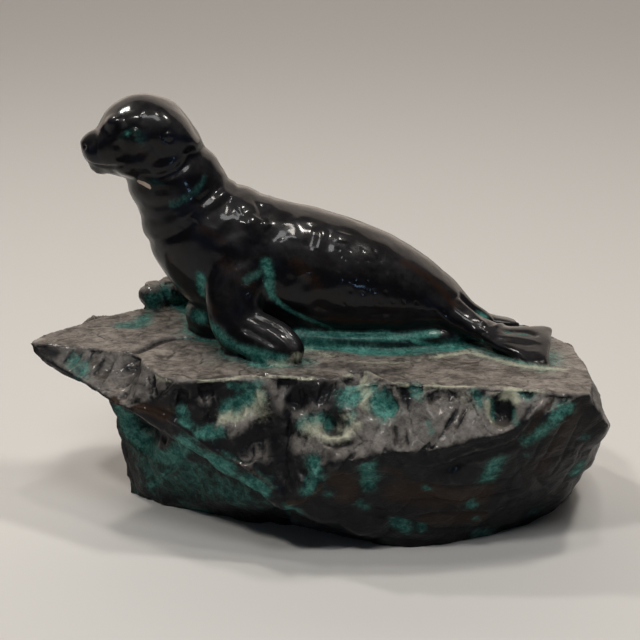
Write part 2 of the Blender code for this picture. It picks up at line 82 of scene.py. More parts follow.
# The seal. Heights are above the rock's flat top.
# Trunk from inside the skull to the tail: x, y off the midline, height, half width, half depth
TRUNK = [
    (-0.0700, 0.0, 0.0820, 0.0165, 0.0165),
    (-0.0665, 0.0, 0.0762, 0.0180, 0.0188),
    (-0.0640, 0.0, 0.0710, 0.0185, 0.0198),
    (-0.0608, 0.0, 0.0657, 0.0190, 0.0207),
    (-0.0573, 0.0, 0.0577, 0.0203, 0.0226),
    (-0.0535, 0.0, 0.0512, 0.0220, 0.0248),
    (-0.0480, 0.0, 0.0448, 0.0240, 0.0270),
    (-0.0385, 0.0, 0.0364, 0.0260, 0.0294),
    (-0.0235, 0.0, 0.0290, 0.0272, 0.0308),
    (-0.0060, 0.0, 0.0262, 0.0276, 0.0296),
    (0.0100, 0.0, 0.0233, 0.0275, 0.0272),
    (0.0250, 0.0, 0.0197, 0.0260, 0.0244),
    (0.0380, 0.0, 0.0157, 0.0232, 0.0205),
    (0.0490, 0.0, 0.0117, 0.0190, 0.0162),
    (0.0580, 0.0, 0.0080, 0.0140, 0.0124),
    (0.0660, 0.0, 0.0055, 0.0092, 0.0080),
    (0.0730, 0.0, 0.0040, 0.0055, 0.0046),
    (0.0780, 0.0, 0.0030, 0.0020, 0.0020),
]
# Rings pressed into the neck: place along the trunk's rows, and depth
NECK_FOLDS = [(3.05, 0.0008), (3.60, 0.0012), (4.60, 0.0015), (1.30, 0.0008)]
# Belly fold that spreads on the rock: x, y off the midline, height, half width, half depth
BELLY = [
    (-0.0590, 0.0, 0.0050, 0.0060, 0.0060),
    (-0.0520, 0.0, 0.0065, 0.0150, 0.0095),
    (-0.0400, 0.0, 0.0065, 0.0215, 0.0100),
    (-0.0250, 0.0, 0.0050, 0.0245, 0.0095),
    (-0.0100, 0.0, 0.0035, 0.0258, 0.0085),
    (0.0120, 0.0, 0.0030, 0.0264, 0.0080),
    (0.0320, 0.0, 0.0025, 0.0254, 0.0075),
    (0.0480, 0.0, 0.0022, 0.0228, 0.0068),
    (0.0620, 0.0, 0.0018, 0.0180, 0.0058),
    (0.0730, 0.0, 0.0010, 0.0100, 0.0040),
]
# Head from the nose back: x, height of its top, height of its underside, half width
HEAD = [
    (-0.1016, 0.0850, 0.0828, 0.0020),
    (-0.1008, 0.0866, 0.0804, 0.0048),
    (-0.0992, 0.0882, 0.0784, 0.0072),
    (-0.0970, 0.0898, 0.0764, 0.0088),
    (-0.0950, 0.0920, 0.0748, 0.0100),
    (-0.0932, 0.0956, 0.0735, 0.0115),
    (-0.0900, 0.1002, 0.0721, 0.0136),
    (-0.0850, 0.1038, 0.0708, 0.0158),
    (-0.0790, 0.1058, 0.0712, 0.0176),
    (-0.0725, 0.1060, 0.0722, 0.0186),
    (-0.0665, 0.1044, 0.0738, 0.0187),
    (-0.0610, 0.1008, 0.0762, 0.0178),
    (-0.0560, 0.0952, 0.0795, 0.0156),
    (-0.0522, 0.0892, 0.0825, 0.0112),
    (-0.0505, 0.0862, 0.0845, 0.0050),
]
# Rounded forms of the head: x, y off the midline, height, and the three half sizes
BROW = (-0.0850, 0.0092, 0.0965, 0.0060, 0.0045, 0.0036)
CHEEK = (-0.0790, 0.0090, 0.0800, 0.0110, 0.0088, 0.0078)
LIP = (-0.0955, 0.0042, 0.0830, 0.0056, 0.0050, 0.0048)
EYE = (-0.0838, 0.0136, 0.0930, 0.0030, 0.0022, 0.0028)
CHIN = (-0.0925, 0.0, 0.0758, 0.0066, 0.0060, 0.0032)
NOSE = (-0.0998, 0.0, 0.0862, 0.0026, 0.0040, 0.0022)
SHOULDER_LUMP = (-0.0310, 0.0090, 0.0540, 0.0085, 0.0120, 0.0050)

# Flippers: x, y, height, half width, half thickness, and the direction of their width
FORE_ARM = [
    (-0.0300, 0.0060, 0.0450, 0.0145, 0.0115),
    (-0.0345, -0.0020, 0.0345, 0.0142, 0.0106),
    (-0.0365, -0.0080, 0.0245, 0.0126, 0.0094),
    (-0.0365, -0.0125, 0.0155, 0.0108, 0.0082),
    (-0.0348, -0.0150, 0.0075, 0.0092, 0.0072),
    (-0.0335, -0.0158, 0.0010, 0.0060, 0.0050),
]
ARM_ACROSS = (1.0, 0.0, 0.0)
FORE_FLIPPER = [
    (-0.0420, -0.0100, 0.0150, 0.0075, 0.0070),
    (-0.0350, -0.0145, 0.0128, 0.0096, 0.0068),
    (-0.0270, -0.0188, 0.0100, 0.0105, 0.0058),
    (-0.0190, -0.0224, 0.0076, 0.0100, 0.0050),
    (-0.0125, -0.0248, 0.0057, 0.0076, 0.0041),
    (-0.0085, -0.0261, 0.0044, 0.0048, 0.0032),
    (-0.0068, -0.0266, 0.0039, 0.0024, 0.0022),
]
FORE_ACROSS = (-0.15, 0.62, 0.74)
HIND_FLIPPER = [
    (0.0500, 0.0080, 0.0140, 0.0100, 0.0085),
    (0.0600, 0.0040, 0.0095, 0.0080, 0.0066),
    (0.0700, -0.0010, 0.0060, 0.0076, 0.0048),
    (0.0790, -0.0055, 0.0040, 0.0102, 0.0037),
    (0.0880, -0.0085, 0.0030, 0.0140, 0.0030),
    (0.0960, -0.0105, 0.0026, 0.0170, 0.0025),
    (0.0992, -0.0112, 0.0024, 0.0164, 0.0020),
]
HIND_ACROSS = (-0.24, 0.95, 0.15)
FAR_HIND_FLIPPER = [
    (0.0500, 0.0240, 0.0110, 0.0095, 0.0080),
    (0.0600, 0.0265, 0.0055, 0.0075, 0.0055),
    (0.0690, 0.0290, 0.0010, 0.0070, 0.0040),
    (0.0770, 0.0308, -0.0015, 0.0092, 0.0033),
    (0.0840, 0.0318, -0.0026, 0.0112, 0.0027),
    (0.0890, 0.0322, -0.0032, 0.0106, 0.0020),
]
FAR_HIND_ACROSS = (-0.05, 0.96, -0.28)

# The rock, as blocks. Upper corners: x, y, drop below the flat top.
TIP_RIM = [
    (-0.1270, -0.0020, -0.0005), (-0.1225, 0.0060, -0.0012), (-0.1090, 0.0150, -0.0018),
    (-0.0950, 0.0260, -0.0020), (-0.0840, 0.0380, -0.0020), (-0.0600, 0.0500, -0.0010),
    (-0.0600, 0.0000, 0.0), (-0.0780, -0.0150, -0.0005), (-0.0890, -0.0115, -0.0010),
    (-0.1000, -0.0065, -0.0010), (-0.1130, 0.0000, -0.0010),
]
# Lower corners: x, y, height above the ground
TIP_FOOT = [
    (-0.1262, -0.0035, 0.0735), (-0.1120, -0.0130, 0.0700), (-0.0990, -0.0240, 0.0660),
    (-0.0870, -0.0330, 0.0618), (-0.0780, -0.0385, 0.0605), (-0.0600, -0.0300, 0.0500),
    (-0.0650, 0.0400, 0.0450), (-0.0950, 0.0210, 0.0620), (-0.1120, 0.0100, 0.0690),
]
SLAB_RIM = [
    (-0.0780, -0.0150, 0.0000), (-0.0720, -0.0290, 0.0), (-0.0650, -0.0395, 0.0005),
    (-0.0570, -0.0450, 0.0005), (-0.0300, -0.0435, 0.0), (0.0300, -0.0330, 0.0),
    (0.0200, 0.0560, 0.0), (-0.0600, 0.0540, -0.0010), (-0.0800, 0.0420, -0.0020),
]
SLAB_FOOT = [
    (-0.0850, -0.0340, 0.0620), (-0.0775, -0.0385, 0.0605), (-0.0610, -0.0440, 0.0575),
    (-0.0480, -0.0480, 0.0500), (-0.0350, -0.0515, 0.0430), (-0.0250, -0.0540, 0.0340),
    (-0.0150, -0.0560, 0.0240), (0.0100, -0.0480, 0.0200), (0.0200, 0.0400, 0.0200),
    (-0.0300, 0.0400, 0.0300), (-0.0700, 0.0400, 0.0480),
]
FOOT_RIM = [
    (-0.0955, 0.0070, 0.0240), (-0.0770, -0.0080, 0.0250), (-0.0560, -0.0300, 0.0250),
    (-0.0300, -0.0430, 0.0380), (-0.0150, -0.0490, 0.0530), (0.0300, -0.0300, 0.0400),
    (0.0300, 0.0480, 0.0240), (-0.0850, 0.0380, 0.0240),
]
FOOT_GROUND = [
    (-0.0870, 0.0090, 0.0), (-0.0610, -0.0030, 0.0), (-0.0340, -0.0130, 0.0),
    (-0.0080, -0.0165, 0.0), (0.0300, -0.0150, 0.0), (0.0300, 0.0460, 0.0),
    (-0.0500, 0.0460, 0.0), (-0.0800, 0.0340, 0.0),
]
MAIN_RIM = [
    (-0.0100, -0.0420, 0.0), (0.0330, -0.0430, 0.0005), (0.0600, -0.0480, 0.0010),
    (0.0900, -0.0530, 0.0010), (0.1080, -0.0560, 0.0015), (0.1125, -0.0430, 0.0020),
    (0.1130, -0.0190, 0.0025), (0.1110, 0.0000, 0.0030), (0.1050, 0.0140, 0.0030),
    (0.0950, 0.0270, 0.0030), (0.0780, 0.0390, 0.0020), (0.0400, 0.0550, 0.0),
    (-0.0100, 0.0550, 0.0),
]
MAIN_BODY = [
    (-0.0140, -0.0560, 0.0260), (-0.0060, -0.0610, 0.0400), (0.0080, -0.0640, 0.0500),
    (0.0260, -0.0650, 0.0540), (0.0480, -0.0655, 0.0560), (0.0720, -0.0630, 0.0610),
    (0.0970, -0.0560, 0.0740), (0.1190, -0.0480, 0.0590), (0.1240, -0.0250, 0.0500),
    (0.1290, 0.0000, 0.0380), (0.1275, 0.0200, 0.0360), (0.1235, 0.0040, 0.0190),
    (0.1120, 0.0450, 0.0400), (0.0800, 0.0620, 0.0400), (0.0200, 0.0620, 0.0350),
]
MAIN_GROUND = [
    (-0.0090, -0.0165, 0.0), (0.0010, -0.0205, 0.0), (0.0140, -0.0290, 0.0),
    (0.0300, -0.0355, 0.0), (0.0470, -0.0400, 0.0), (0.0650, -0.0335, 0.0),
    (0.0840, -0.0230, 0.0), (0.1010, -0.0100, 0.0), (0.1120, 0.0060, 0.0),
    (0.1090, 0.0280, 0.0), (0.0900, 0.0440, 0.0), (0.0600, 0.0520, 0.0),
    (0.0000, 0.0500, 0.0),
]
# Rubble on the far rim behind the chest: x, y, height above the flat top, half size
RUBBLE = [
    (-0.0765, 0.0430, 0.0060, 0.0080),
    (-0.0690, 0.0460, 0.0075, 0.0078),
    (-0.0580, 0.0480, 0.0060, 0.0085),
    (-0.0450, 0.0480, 0.0030, 0.0080),
]
# Knocks in the rock: x, y, drop below the flat top, radius, depth. A depth under 0 is a lump.
KNOCKS = [
    (0.0142, -0.0400, 0.0010, 0.0080, 0.0060),
    (-0.0350, -0.0450, 0.0120, 0.0120, 0.0035),
    (0.0053, -0.0530, 0.0170, 0.0090, 0.0065),
    (0.0060, -0.0600, 0.0280, 0.0080, -0.0020),
    (0.0738, -0.0550, 0.0110, 0.0105, 0.0055),
    (0.0240, -0.0520, 0.0070, 0.0090, 0.0030),
    (0.0500, -0.0540, 0.0060, 0.0080, 0.0025),
    (-0.0150, -0.0450, 0.0150, 0.0090, -0.0030),
    (-0.0150, -0.0520, 0.0300, 0.0110, -0.0030),
    (-0.0260, -0.0480, 0.0260, 0.0110, 0.0030),
    (-0.0761, -0.0010, 0.0400, 0.0150, 0.0085),
    (-0.0860, -0.0200, 0.0060, 0.0110, 0.0025),
    (0.0960, -0.0560, 0.0060, 0.0080, 0.0030),
    (0.1180, 0.0200, 0.0300, 0.0260, -0.0030),
    (0.0600, 0.0620, 0.0300, 0.0280, 0.0060),
    (-0.0300, 0.0560, 0.0250, 0.0260, 0.0050),
    (0.0100, 0.0600, 0.0600, 0.0240, 0.0050),
]

# Modelling of the skin, in metres
UNDERGROUND = 0.006       # how far blocks go under the ground before the flat cut
SEAL_LOWEST = 0.008       # the seal's lowest point is less than this under the flat top
SEAL_EDGE = (0.0003, 0.0010)  # distance from the seal's form over which skin turns from seal to rock
ROCK_EDGE = (0.0012, 0.0036)  # and over which the rock's roughness sets in
WARP_SIZE = 0.014         # wander of the scoops, chips and cracks off their regular places
WARP_DEPTH = 0.004
SCOOP_SIZE = 0.0105       # scooped hollows between the crags
SCOOP_DEPTH = 0.0007
SCOOP_LEVEL = 0.30
SCOOP_ON_TOP = 0.5        # share of a scoop's depth on the worn flat top
CHIP_SIZE = 0.0046        # small chips
CHIP_DEPTH = 0.00025
CHIP_LEVEL = 0.45
WRINKLE_SIZE = 0.006      # wrinkles and hair cracks of the flat top
WRINKLE_DEPTH = 0.00022
WRINKLE_STRETCH = 3       # how many times longer they are along X
CRACK_SIZE = 0.009
CRACK_DEPTH = 0.00015
CRACK_WIDTH = 0.06        # of a crack's spacing
CRACK_STRETCH = 2
LUMP_SIZES = (0.0095, 0.0042)  # soft unevenness of the seal, coarse and fine
LUMP_DEPTHS = (0.00032, 0.00012)
SEAL_EDGE_PASSES = 3      # softening of the border between seal and rock
EDGE_PASSES = 4           # softening against which the rock's edges are sharpened
EDGE_SHARE = 1.1
# Rounded end of the muzzle: x, y off the midline, height above the flat top, and half sizes
MUZZLE = (-0.0955, 0.0, 0.0838, 0.0066, 0.0078, 0.0078)
MUZZLE_SIDE = (-0.0940, 0.0050, 0.0825, 0.0066, 0.0050, 0.0058)
PATH_STEPS = 4            # steps between two pixels of a path
STROKE_FADE = 0.18        # share of a stroke over which it fades at each end
STROKE_REACH = 3.0        # radii from its path at which a stroke has faded out
DAB_REACH = 2.5           # and a dab of colour
BEAD_SHARE = 0.62         # radius of an eye's raised middle, as a share of its ring's
DASH_STRAY = 2.5          # pixels
SEAL_LEVELS = 6           # steps of the thinning's weights between rock and seal
SEAL_HOLD = 0.9           # how much less of the thinning the seal takes than the rock

# Where the glaze pools. A point is sunk by so many metres under its softened surroundings.
FINE_PASSES = 10          # softening that tells small hollows and crests
BROAD_PASSES = 140        # and broad ones
# The rock's upward faces are painted lighter, as if lit, and its downward faces and hollows darker, as in
# shade.
FACE_PASSES = 60          # softening of the normals that tells the rock's light faces from its dark ones
POOL_RANGE = (0.0001, 0.0012)  # metres sunk, from no pool to a full one
SEAL_POOL_RANGE = (0.00012, 0.00040)
SEAL_POOL_STRENGTH = 0.35
HOLLOW_RANGE = (0.00002, 0.00020)
CREST_RANGE = (0.00004, 0.00022)
FLAT_TOP_RANGE = (0.72, 0.92)    # upward part of the normal, from a side to the flat top
SLOPE_RANGE = (0.5, 0.8)         # and from a side to ground that wild teal leaves bare
BESIDE_RANGE = (0.3, 0.8)        # and from a side to ground that holds a pool beside the seal
# upward part of the softened normal, over which a face turns from painted as in shade to painted as lit
LIGHT_FACE_RANGE = (-0.05, 0.50)
FRONT_RANGE = (-0.2, 0.4)        # part of the normal towards the viewer, from the far side to the front
FRONT_HEIGHTS = (0.0, 0.02)      # metres above the ground over which the front's own painting sets in
HALO_REACH = 0.0050       # reach of the pooled glaze round the seal
HALO_STRENGTH = 0.9
PATCH_SIZE = 0.020        # random patches of teal and cream on the rock's other sides
PATCH_SEED = 3
PATCH_ROUGHNESS = 0.8
PATCH_OCTAVES = 3
FRONT_KEEPS = 0.15        # share of the random teal that the painted front has
WILD_CREAM = 0.5          # strength of the random cream

# Colours of the glaze, and of the light and shade painted on it, as linear red, green and blue
GLAZE_BLACK = (0.0028, 0.0026, 0.0034)
GLAZE_BLUE_BLACK = (0.0040, 0.0050, 0.0090)
ROCK_BLACK = (0.0050, 0.0052, 0.0070)
# painted sheen: a lighter grey laid on the seal's upward faces
PAINTED_SHEEN = (0.024, 0.022, 0.022)
# painted light: grey laid on the rock's upward faces, as if lit
LIT_ROCK_GREY = (0.200, 0.184, 0.170)
# flat top's grey-brown, partly painted sheen of reflected light
FLAT_TOP_SHEEN_GREY = (0.260, 0.229, 0.202)
FLAT_TOP_DARK = (0.052, 0.045, 0.040)
# painted warm reflection, brown
BROWN_REFLECTION = (0.022, 0.0105, 0.0055)
# cream glaze, also used for painted glints along the rim
CREAM_GLAZE_AND_GLINT = (0.44, 0.45, 0.34)
GLAZE_TEAL = (0.007, 0.078, 0.070)
GLAZE_PALE_TEAL = (0.095, 0.280, 0.235)
BARE_CLAY = (0.42, 0.34, 0.28)

# The glaze's finish
SEAL_ROUGHNESS = 0.32
ROCK_ROUGHNESS = 0.42
SEAL_IOR = 1.17
ROCK_IOR = 1.22
SEAL_COAT = 0.60          # share of a thin, sharp shine on top of the softer one
ROCK_COAT = 0.18
COAT_IOR = 1.36
COAT_ROUGHNESS = 0.11
ROCK_BUMP = 0.0011        # metres that the fine grain stands out
SEAL_BUMP = 0.0003
# Spots of the glaze's random patterns, in metres
CLOUD_SIZE = 0.013
MOTTLE_SIZE = 0.0042
SPECK_SIZE = 0.0014
STREAK_SIZE = 0.0034
STREAK_STRETCH = (0.55, 1, 1.7)
SHEEN_SIZE = 0.016
GRAIN_SIZE = 0.0011
LUMPS_SIZE = 0.0036
RIPPLE_SIZE = 0.007
BORDER = (0.2, 0.9)       # shares of seal over which the finish turns from the rock's to the seal's

# Stage and light
STAGE_ROUGHNESS = 0.9
FLOOR_COLOUR = (0.62, 0.61, 0.59)
FLOOR_REACH = 8.0         # metres from the figurine to the floor's edges
WALL_COLOUR = (0.84, 0.73, 0.63)
WALL_GLOW = 1.05
WALL_PLACE = 6.0          # metres behind the figurine
WALL_HALF = 9.0           # half its width
WALL_HEIGHT = 8.5
WORLD_COLOUR = (0.8, 0.9, 1.0)
WORLD_STRENGTH = 0.03
SUN_STRENGTH = 0.6
SUN_SIZE = 16.0           # degrees across
SUN_AZIMUTH = 165.0       # degrees
SUN_ELEVATION = 66.0
# Lamps: name, azimuth and elevation in degrees, distance and width in metres, brightness and colour
LAMPS = [
    ("lamp_right", 92.0, 68.0, 1.1, 0.11, 110.0, (1.0, 0.95, 0.88)),
    ("lamp_left", -145.0, 56.0, 1.1, 0.11, 110.0, (1.0, 0.96, 0.92)),
    ("lamp_head", -62.0, 58.0, 1.1, 0.10, 110.0, (1.0, 0.95, 0.88)),
    ("lamp_top", 150.0, 80.0, 1.2, 0.12, 45.0, (1.0, 0.94, 0.86)),
    ("fill", 160.0, 8.0, 1.3, 0.10, 14.0, (0.40, 0.65, 1.0)),
]

# Modelled detail, placed by the photo's pixels. Each row is a path of pixels, then the stroke's
# radius and depth in tenths of a millimetre. A depth under 0 stands out.
TENTHS_IN_METRE = 10000
HEAD_STROKES = [
    # mouth slit, and the lips above and under it
    ([(86, 160), (92, 164), (100, 166), (110, 167), (119, 166), (126, 163)], 9, 7),
    ([(94, 171), (104, 173), (115, 172)], 13, -3),
    # end of the whisker pad, and the crease up the face
    ([(119, 162), (121, 152), (116, 141)], 18, 7),
    # whisker pad
    ([(97, 150), (104, 151)], 34, -3),
    # dip between the muzzle and the forehead
    ([(101, 130), (106, 133), (110, 140)], 18, 8),
    # nostril
    ([(83, 145), (86, 148)], 8, 6),
    # chin
    ([(96, 171), (106, 176)], 18, -3),
    # brow, and the hollow under it
    ([(124, 119), (134, 116), (143, 118)], 30, -3),
    ([(124, 127), (133, 124), (142, 126)], 20, 1),
    # tear groove in front of the eye
    ([(120, 136), (125, 134), (130, 133)], 14, 4),
    # lower lid, and the pouch under it
    ([(132, 144), (141, 145), (150, 141)], 24, -3),
    # cheek folds
    ([(136, 152), (146, 150), (154, 143)], 16, 4),
    ([(134, 160), (146, 159), (157, 153)], 20, -4),
    # jowl line between head and neck
    ([(127, 168), (134, 172), (143, 175), (155, 177), (167, 175), (178, 170), (186, 162), (191, 151),
      (191, 141)], 22, 10),
    ([(134, 164), (148, 167), (164, 166), (174, 160), (181, 150)], 34, -5),
]
# Beads on the head: pixel, ring radius, ring width, depth of the ring, and rise of its middle
HEAD_BEADS = [
    ((135, 132), 22, 9, 3, 3),
    ((169, 136), 24, 7, 4, 4),
]
BODY_STROKES = [
    # folds on the throat and the side of the neck
    ([(136, 184), (146, 189), (158, 190), (170, 187)], 22, 3),
    ([(150, 197), (165, 199), (182, 195), (196, 184), (204, 172)], 25, -3),
    ([(142, 203), (156, 206), (172, 204)], 18, 3),
    ([(146, 213), (160, 215), (176, 211), (190, 202), (203, 191), (213, 178)], 28, -4),
    ([(221, 182), (213, 191), (204, 202), (199, 206)], 28, 7),
    ([(172, 213), (183, 208), (194, 202)], 13, -4),
    ([(180, 222), (190, 212), (200, 203)], 13, -4),
    ([(180, 229), (182, 221), (199, 210)], 13, 5),
    ([(196, 223), (204, 214)], 25, -6),
    ([(229, 189), (223, 197), (213, 207), (205, 217)], 34, -3),
    ([(234, 197), (226, 208), (217, 219), (211, 229)], 34, 7),
    ([(150, 232), (164, 234), (178, 231)], 22, 2),
    ([(152, 243), (168, 244), (184, 240)], 28, -2),
    ([(156, 256), (170, 257), (186, 254)], 25, 2),
    # shoulder lump and the creases behind it
    ([(236, 211), (246, 208), (258, 207)], 42, -6),
    ([(263, 203), (262, 212), (259, 219)], 28, 6),
    ([(262, 222), (268, 229)], 23, -4),
    ([(210, 255), (224, 249), (237, 243), (250, 232), (256, 222)], 34, -6),
    ([(208, 240), (222, 236), (236, 228)], 28, 4),
    ([(265, 233), (261, 242), (265, 251), (267, 260), (268, 274)], 23, 9),
    ([(228, 260), (234, 258)], 34, -4),
    ([(232, 268), (240, 262), (250, 262)], 23, 4),
    ([(247, 277), (256, 271), (266, 270)], 22, 4),
    ([(256, 290)], 62, -7),
    ([(246, 284), (244, 294), (250, 300)], 18, 5),
    ([(216, 272), (220, 288), (219, 302)], 25, 3),
    ([(236, 274), (238, 290), (236, 304)], 22, -2),
    # creases down the side of the body
    ([(290, 216), (298, 230), (296, 243)], 40, -5),
    ([(314, 222), (313, 232), (311, 241), (308, 250)], 28, 5),
    ([(321, 226), (320, 240), (316, 252)], 30, -3),
    ([(331, 228), (329, 240), (326, 252)], 28, 3),
    ([(343, 232), (342, 243)], 40, -4),
    ([(278, 238), (284, 250), (288, 262)], 28, -4),
    ([(276, 262), (284, 274), (292, 284)], 23, 4),
    ([(290, 258), (300, 266), (304, 278)], 28, -4),
    ([(300, 286), (312, 281), (320, 272)], 25, 3),
    ([(310, 292), (324, 291), (336, 284)], 34, -2),
    # fold along the belly
    ([(266, 284), (272, 297), (289, 311), (314, 322), (330, 330), (355, 332), (382, 331), (402, 334),
      (424, 343), (453, 346), (480, 342)], 22, 6),
    ([(300, 308), (320, 317), (340, 323), (365, 325), (390, 324), (412, 330), (436, 336)], 40, -3),
    ([(305, 300), (330, 311), (360, 315), (386, 314), (412, 319)], 27, 4),
    # hip groove and the light ridge beside it
    ([(458, 292), (465, 300), (472, 307), (480, 314), (486, 319)], 19, 13),
    ([(455, 297), (462, 304), (470, 311), (480, 321), (489, 325)], 18, -8),
    ([(446, 306), (452, 318), (462, 326), (474, 331)], 22, 5),
    # digits of the fore flipper
    ([(252, 306), (266, 312), (281, 318), (294, 328), (301, 340)], 13, -4),
    ([(246, 313), (262, 320), (278, 328), (290, 339), (297, 350)], 10, 4),
    ([(243, 318), (258, 326), (273, 334), (285, 344), (292, 352)], 12, -3),
    ([(240, 325), (254, 333), (268, 341), (280, 349)], 10, 4),
    ([(238, 331), (251, 339), (264, 346), (276, 352)], 12, -3),
    ([(258, 303), (272, 308), (288, 316), (299, 329)], 9, 3),
]
FAN_STROKES = [
    # rolled rim of the near hind flipper, the hollow under it, and its digits
    ([(488, 329), (500, 325), (514, 323), (526, 323), (536, 325), (544, 332)], 11, -8),
    ([(500, 332), (514, 331), (528, 332), (540, 337)], 17, 9),
    ([(492, 336), (508, 337), (526, 339), (546, 345)], 12, -3),
    ([(492, 341), (510, 342), (530, 345), (550, 350)], 10, 3),
    ([(492, 346), (512, 348), (532, 352), (553, 357)], 12, -3),
    ([(496, 351), (514, 354), (534, 358), (554, 362)], 9, 3),
    ([(484, 330), (481, 337), (480, 344)], 22, 7),
]
# The rim's thick glaze line, the step behind it on the left, and hollows along it
RIM_STROKES = [
    ([(130, 353), (138, 359), (148, 366), (158, 375), (168, 379), (186, 380), (200, 381), (220, 380),
      (232, 378), (248, 377), (262, 374), (274, 377), (290, 378), (306, 377), (322, 379), (334, 380),
      (346, 377), (356, 373), (368, 373), (378, 378), (390, 383), (398, 384), (410, 382), (422, 379),
      (430, 380), (435, 389)], 9, -9),
    ([(432, 388), (446, 389), (462, 389), (482, 388), (510, 388), (534, 390), (550, 391), (568, 393),
      (590, 397)], 8, -6),
    ([(184, 385), (174, 387), (168, 393), (162, 397)], 8, -8),
    ([(132, 353), (148, 347), (160, 342), (178, 338), (198, 338), (214, 343)], 16, 12),
    ([(78, 342), (96, 349), (114, 352), (130, 353)], 9, -5),
    ([(188, 390), (206, 391), (226, 389)], 34, 8),
    ([(276, 384), (290, 386)], 30, 8),
    ([(322, 386), (338, 387)], 28, 8),
    ([(382, 388), (394, 391)], 28, 10),
    ([(408, 388), (424, 387)], 26, 12),
    ([(474, 394), (486, 394)], 18, 10),
    ([(524, 394), (544, 395)], 20, 10),
]
ROCK_STROKES = [
    # step inside the rim on the left, and the lower shelf in front of it
    ([(131, 356), (141, 351), (156, 343), (170, 338), (188, 337), (204, 342)], 11, 12),
    ([(152, 358), (172, 356), (196, 360), (222, 366)], 52, 15),
    ([(92, 346), (118, 338), (140, 332)], 40, 6),
    # ridge down the side of the slab, with scoops beside it
    ([(180, 379), (174, 386), (164, 397), (152, 399)], 9, -10),
    ([(146, 388), (156, 384)], 42, 22),
    ([(176, 398), (188, 402)], 46, 22),
    ([(96, 366), (112, 372)], 50, 18),
    ([(66, 356), (78, 362)], 38, 15),
    ([(134, 365), (138, 378)], 22, 12),
    ([(124, 391), (134, 397)], 34, 13),
    ([(200, 396), (214, 392)], 38, 20),
    ([(206, 414), (218, 424)], 40, 21),
    # sharp lower edge of the slab
    ([(40, 356), (64, 370), (88, 383), (100, 393)], 10, -6),
    ([(114, 401), (142, 409), (174, 422), (199, 439), (222, 455), (240, 465), (257, 475), (274, 490),
      (288, 503)], 11, -9),
    ([(112, 396), (140, 403), (170, 414), (196, 430)], 18, 8),
    # dark pocket under the slab
    ([(130, 412), (146, 424), (160, 436), (168, 444)], 26, 16),
    ([(172, 428), (172, 446)], 16, 10),
    # scratches on the lower block
    ([(145, 490), (162, 475), (181, 461)], 6, 6),
    ([(156, 486), (170, 474), (184, 463)], 6, 5),
    ([(152, 492), (160, 485)], 5, 4),
    # front arris, with the deep faces beside it
    ([(303, 379), (293, 388), (284, 399), (282, 409), (284, 421), (284, 433), (280, 450)], 18, -9),
    ([(310, 388), (300, 398), (294, 408)], 34, 28),
    ([(318, 392), (330, 396)], 40, 20),
    ([(244, 400), (258, 398)], 45, 20),
    ([(232, 410), (244, 414)], 32, 17),
    ([(262, 416), (266, 430)], 34, 11),
    # pit, its lip, and the ledge under it
    ([(329, 416), (332, 422), (334, 428)], 9, 18),
    ([(325, 410), (329, 412)], 9, -7),
    ([(322, 426), (334, 431), (346, 429)], 32, 8),
    ([(320, 436), (327, 440), (334, 441), (342, 440), (349, 436)], 10, -12),
    ([(322, 441), (334, 446), (350, 441)], 12, 13),
    # slanting ridges under the ledge
    ([(329, 470), (338, 457), (350, 446)], 12, -7),
    ([(337, 474), (347, 462), (357, 450)], 11, 10),
    ([(346, 475), (357, 464), (368, 455)], 12, -6),
    # round chip near the slab's lower edge
    ([(236, 446), (235, 456), (241, 462), (249, 462), (254, 456), (253, 446)], 7, 7),
    ([(244, 453)], 26, -5),
    # notch in the rim, and the faces under it
    ([(350, 374), (356, 370), (366, 373)], 22, 17),
    ([(360, 386), (370, 396)], 56, 24),
    ([(405, 386), (405, 397)], 24, 24),
    ([(398, 402), (386, 412)], 36, 14),
    ([(419, 392), (422, 400)], 24, -6),
    ([(430, 392), (436, 402)], 30, 11),
    # broad hollows in the front face
    ([(392, 436), (410, 434)], 60, 11),
    ([(448, 418), (462, 424)], 60, 11),
    ([(424, 445), (430, 452)], 30, 13),
    ([(368, 448), (384, 452)], 30, -6),
    # dent to the right, with raised edges
    ([(502, 414)], 52, 24),
    ([(500, 402), (508, 408)], 18, 10),
    ([(484, 398), (489, 412), (495, 427)], 14, -8),
    ([(487, 397), (500, 393), (514, 389)], 10, -8),
    ([(516, 398), (518, 412), (514, 424)], 22, -7),
    ([(474, 393), (480, 398)], 14, 12),
    ([(520, 392), (532, 395)], 14, 12),
    # edge between the light face and the dark one
    ([(550, 394), (538, 408), (529, 419), (521, 430), (513, 438), (495, 444), (479, 449), (462, 455),
      (446, 461), (424, 464), (402, 463)], 13, -8),
    ([(552, 402), (540, 417), (530, 430), (516, 445), (496, 452), (478, 457), (452, 467), (426, 471)],
     22, 13),
    ([(450, 454), (462, 462)], 28, 8),
    ([(372, 456), (392, 462), (404, 468)], 22, 10),
    # foot of the front
    ([(292, 506), (306, 497), (318, 486), (330, 473)], 12, -8),
    ([(300, 478), (312, 470)], 40, 14),
    ([(362, 470), (368, 490)], 30, 14),
    ([(318, 478), (310, 488)], 24, 7),
]
# Long layers in the dark lower part: a path of pixels each, and one radius and depth for all
LAYER_PATHS = [
    [(400, 488), (430, 484), (462, 487), (494, 481), (520, 476)],
    [(396, 502), (428, 499), (460, 502), (496, 495), (532, 484)],
    [(410, 517), (440, 513), (476, 513), (510, 503), (548, 488)],
    [(352, 512), (384, 517), (420, 524), (462, 528), (500, 522)],
    [(532, 476), (548, 452), (560, 430), (572, 408)],
    [(548, 480), (564, 455), (576, 430), (584, 408)],
    [(524, 470), (538, 448), (550, 426)],
    [(562, 482), (576, 462), (586, 440)],
]
LAYER_RADIUS = 9
LAYER_DEPTH = 7

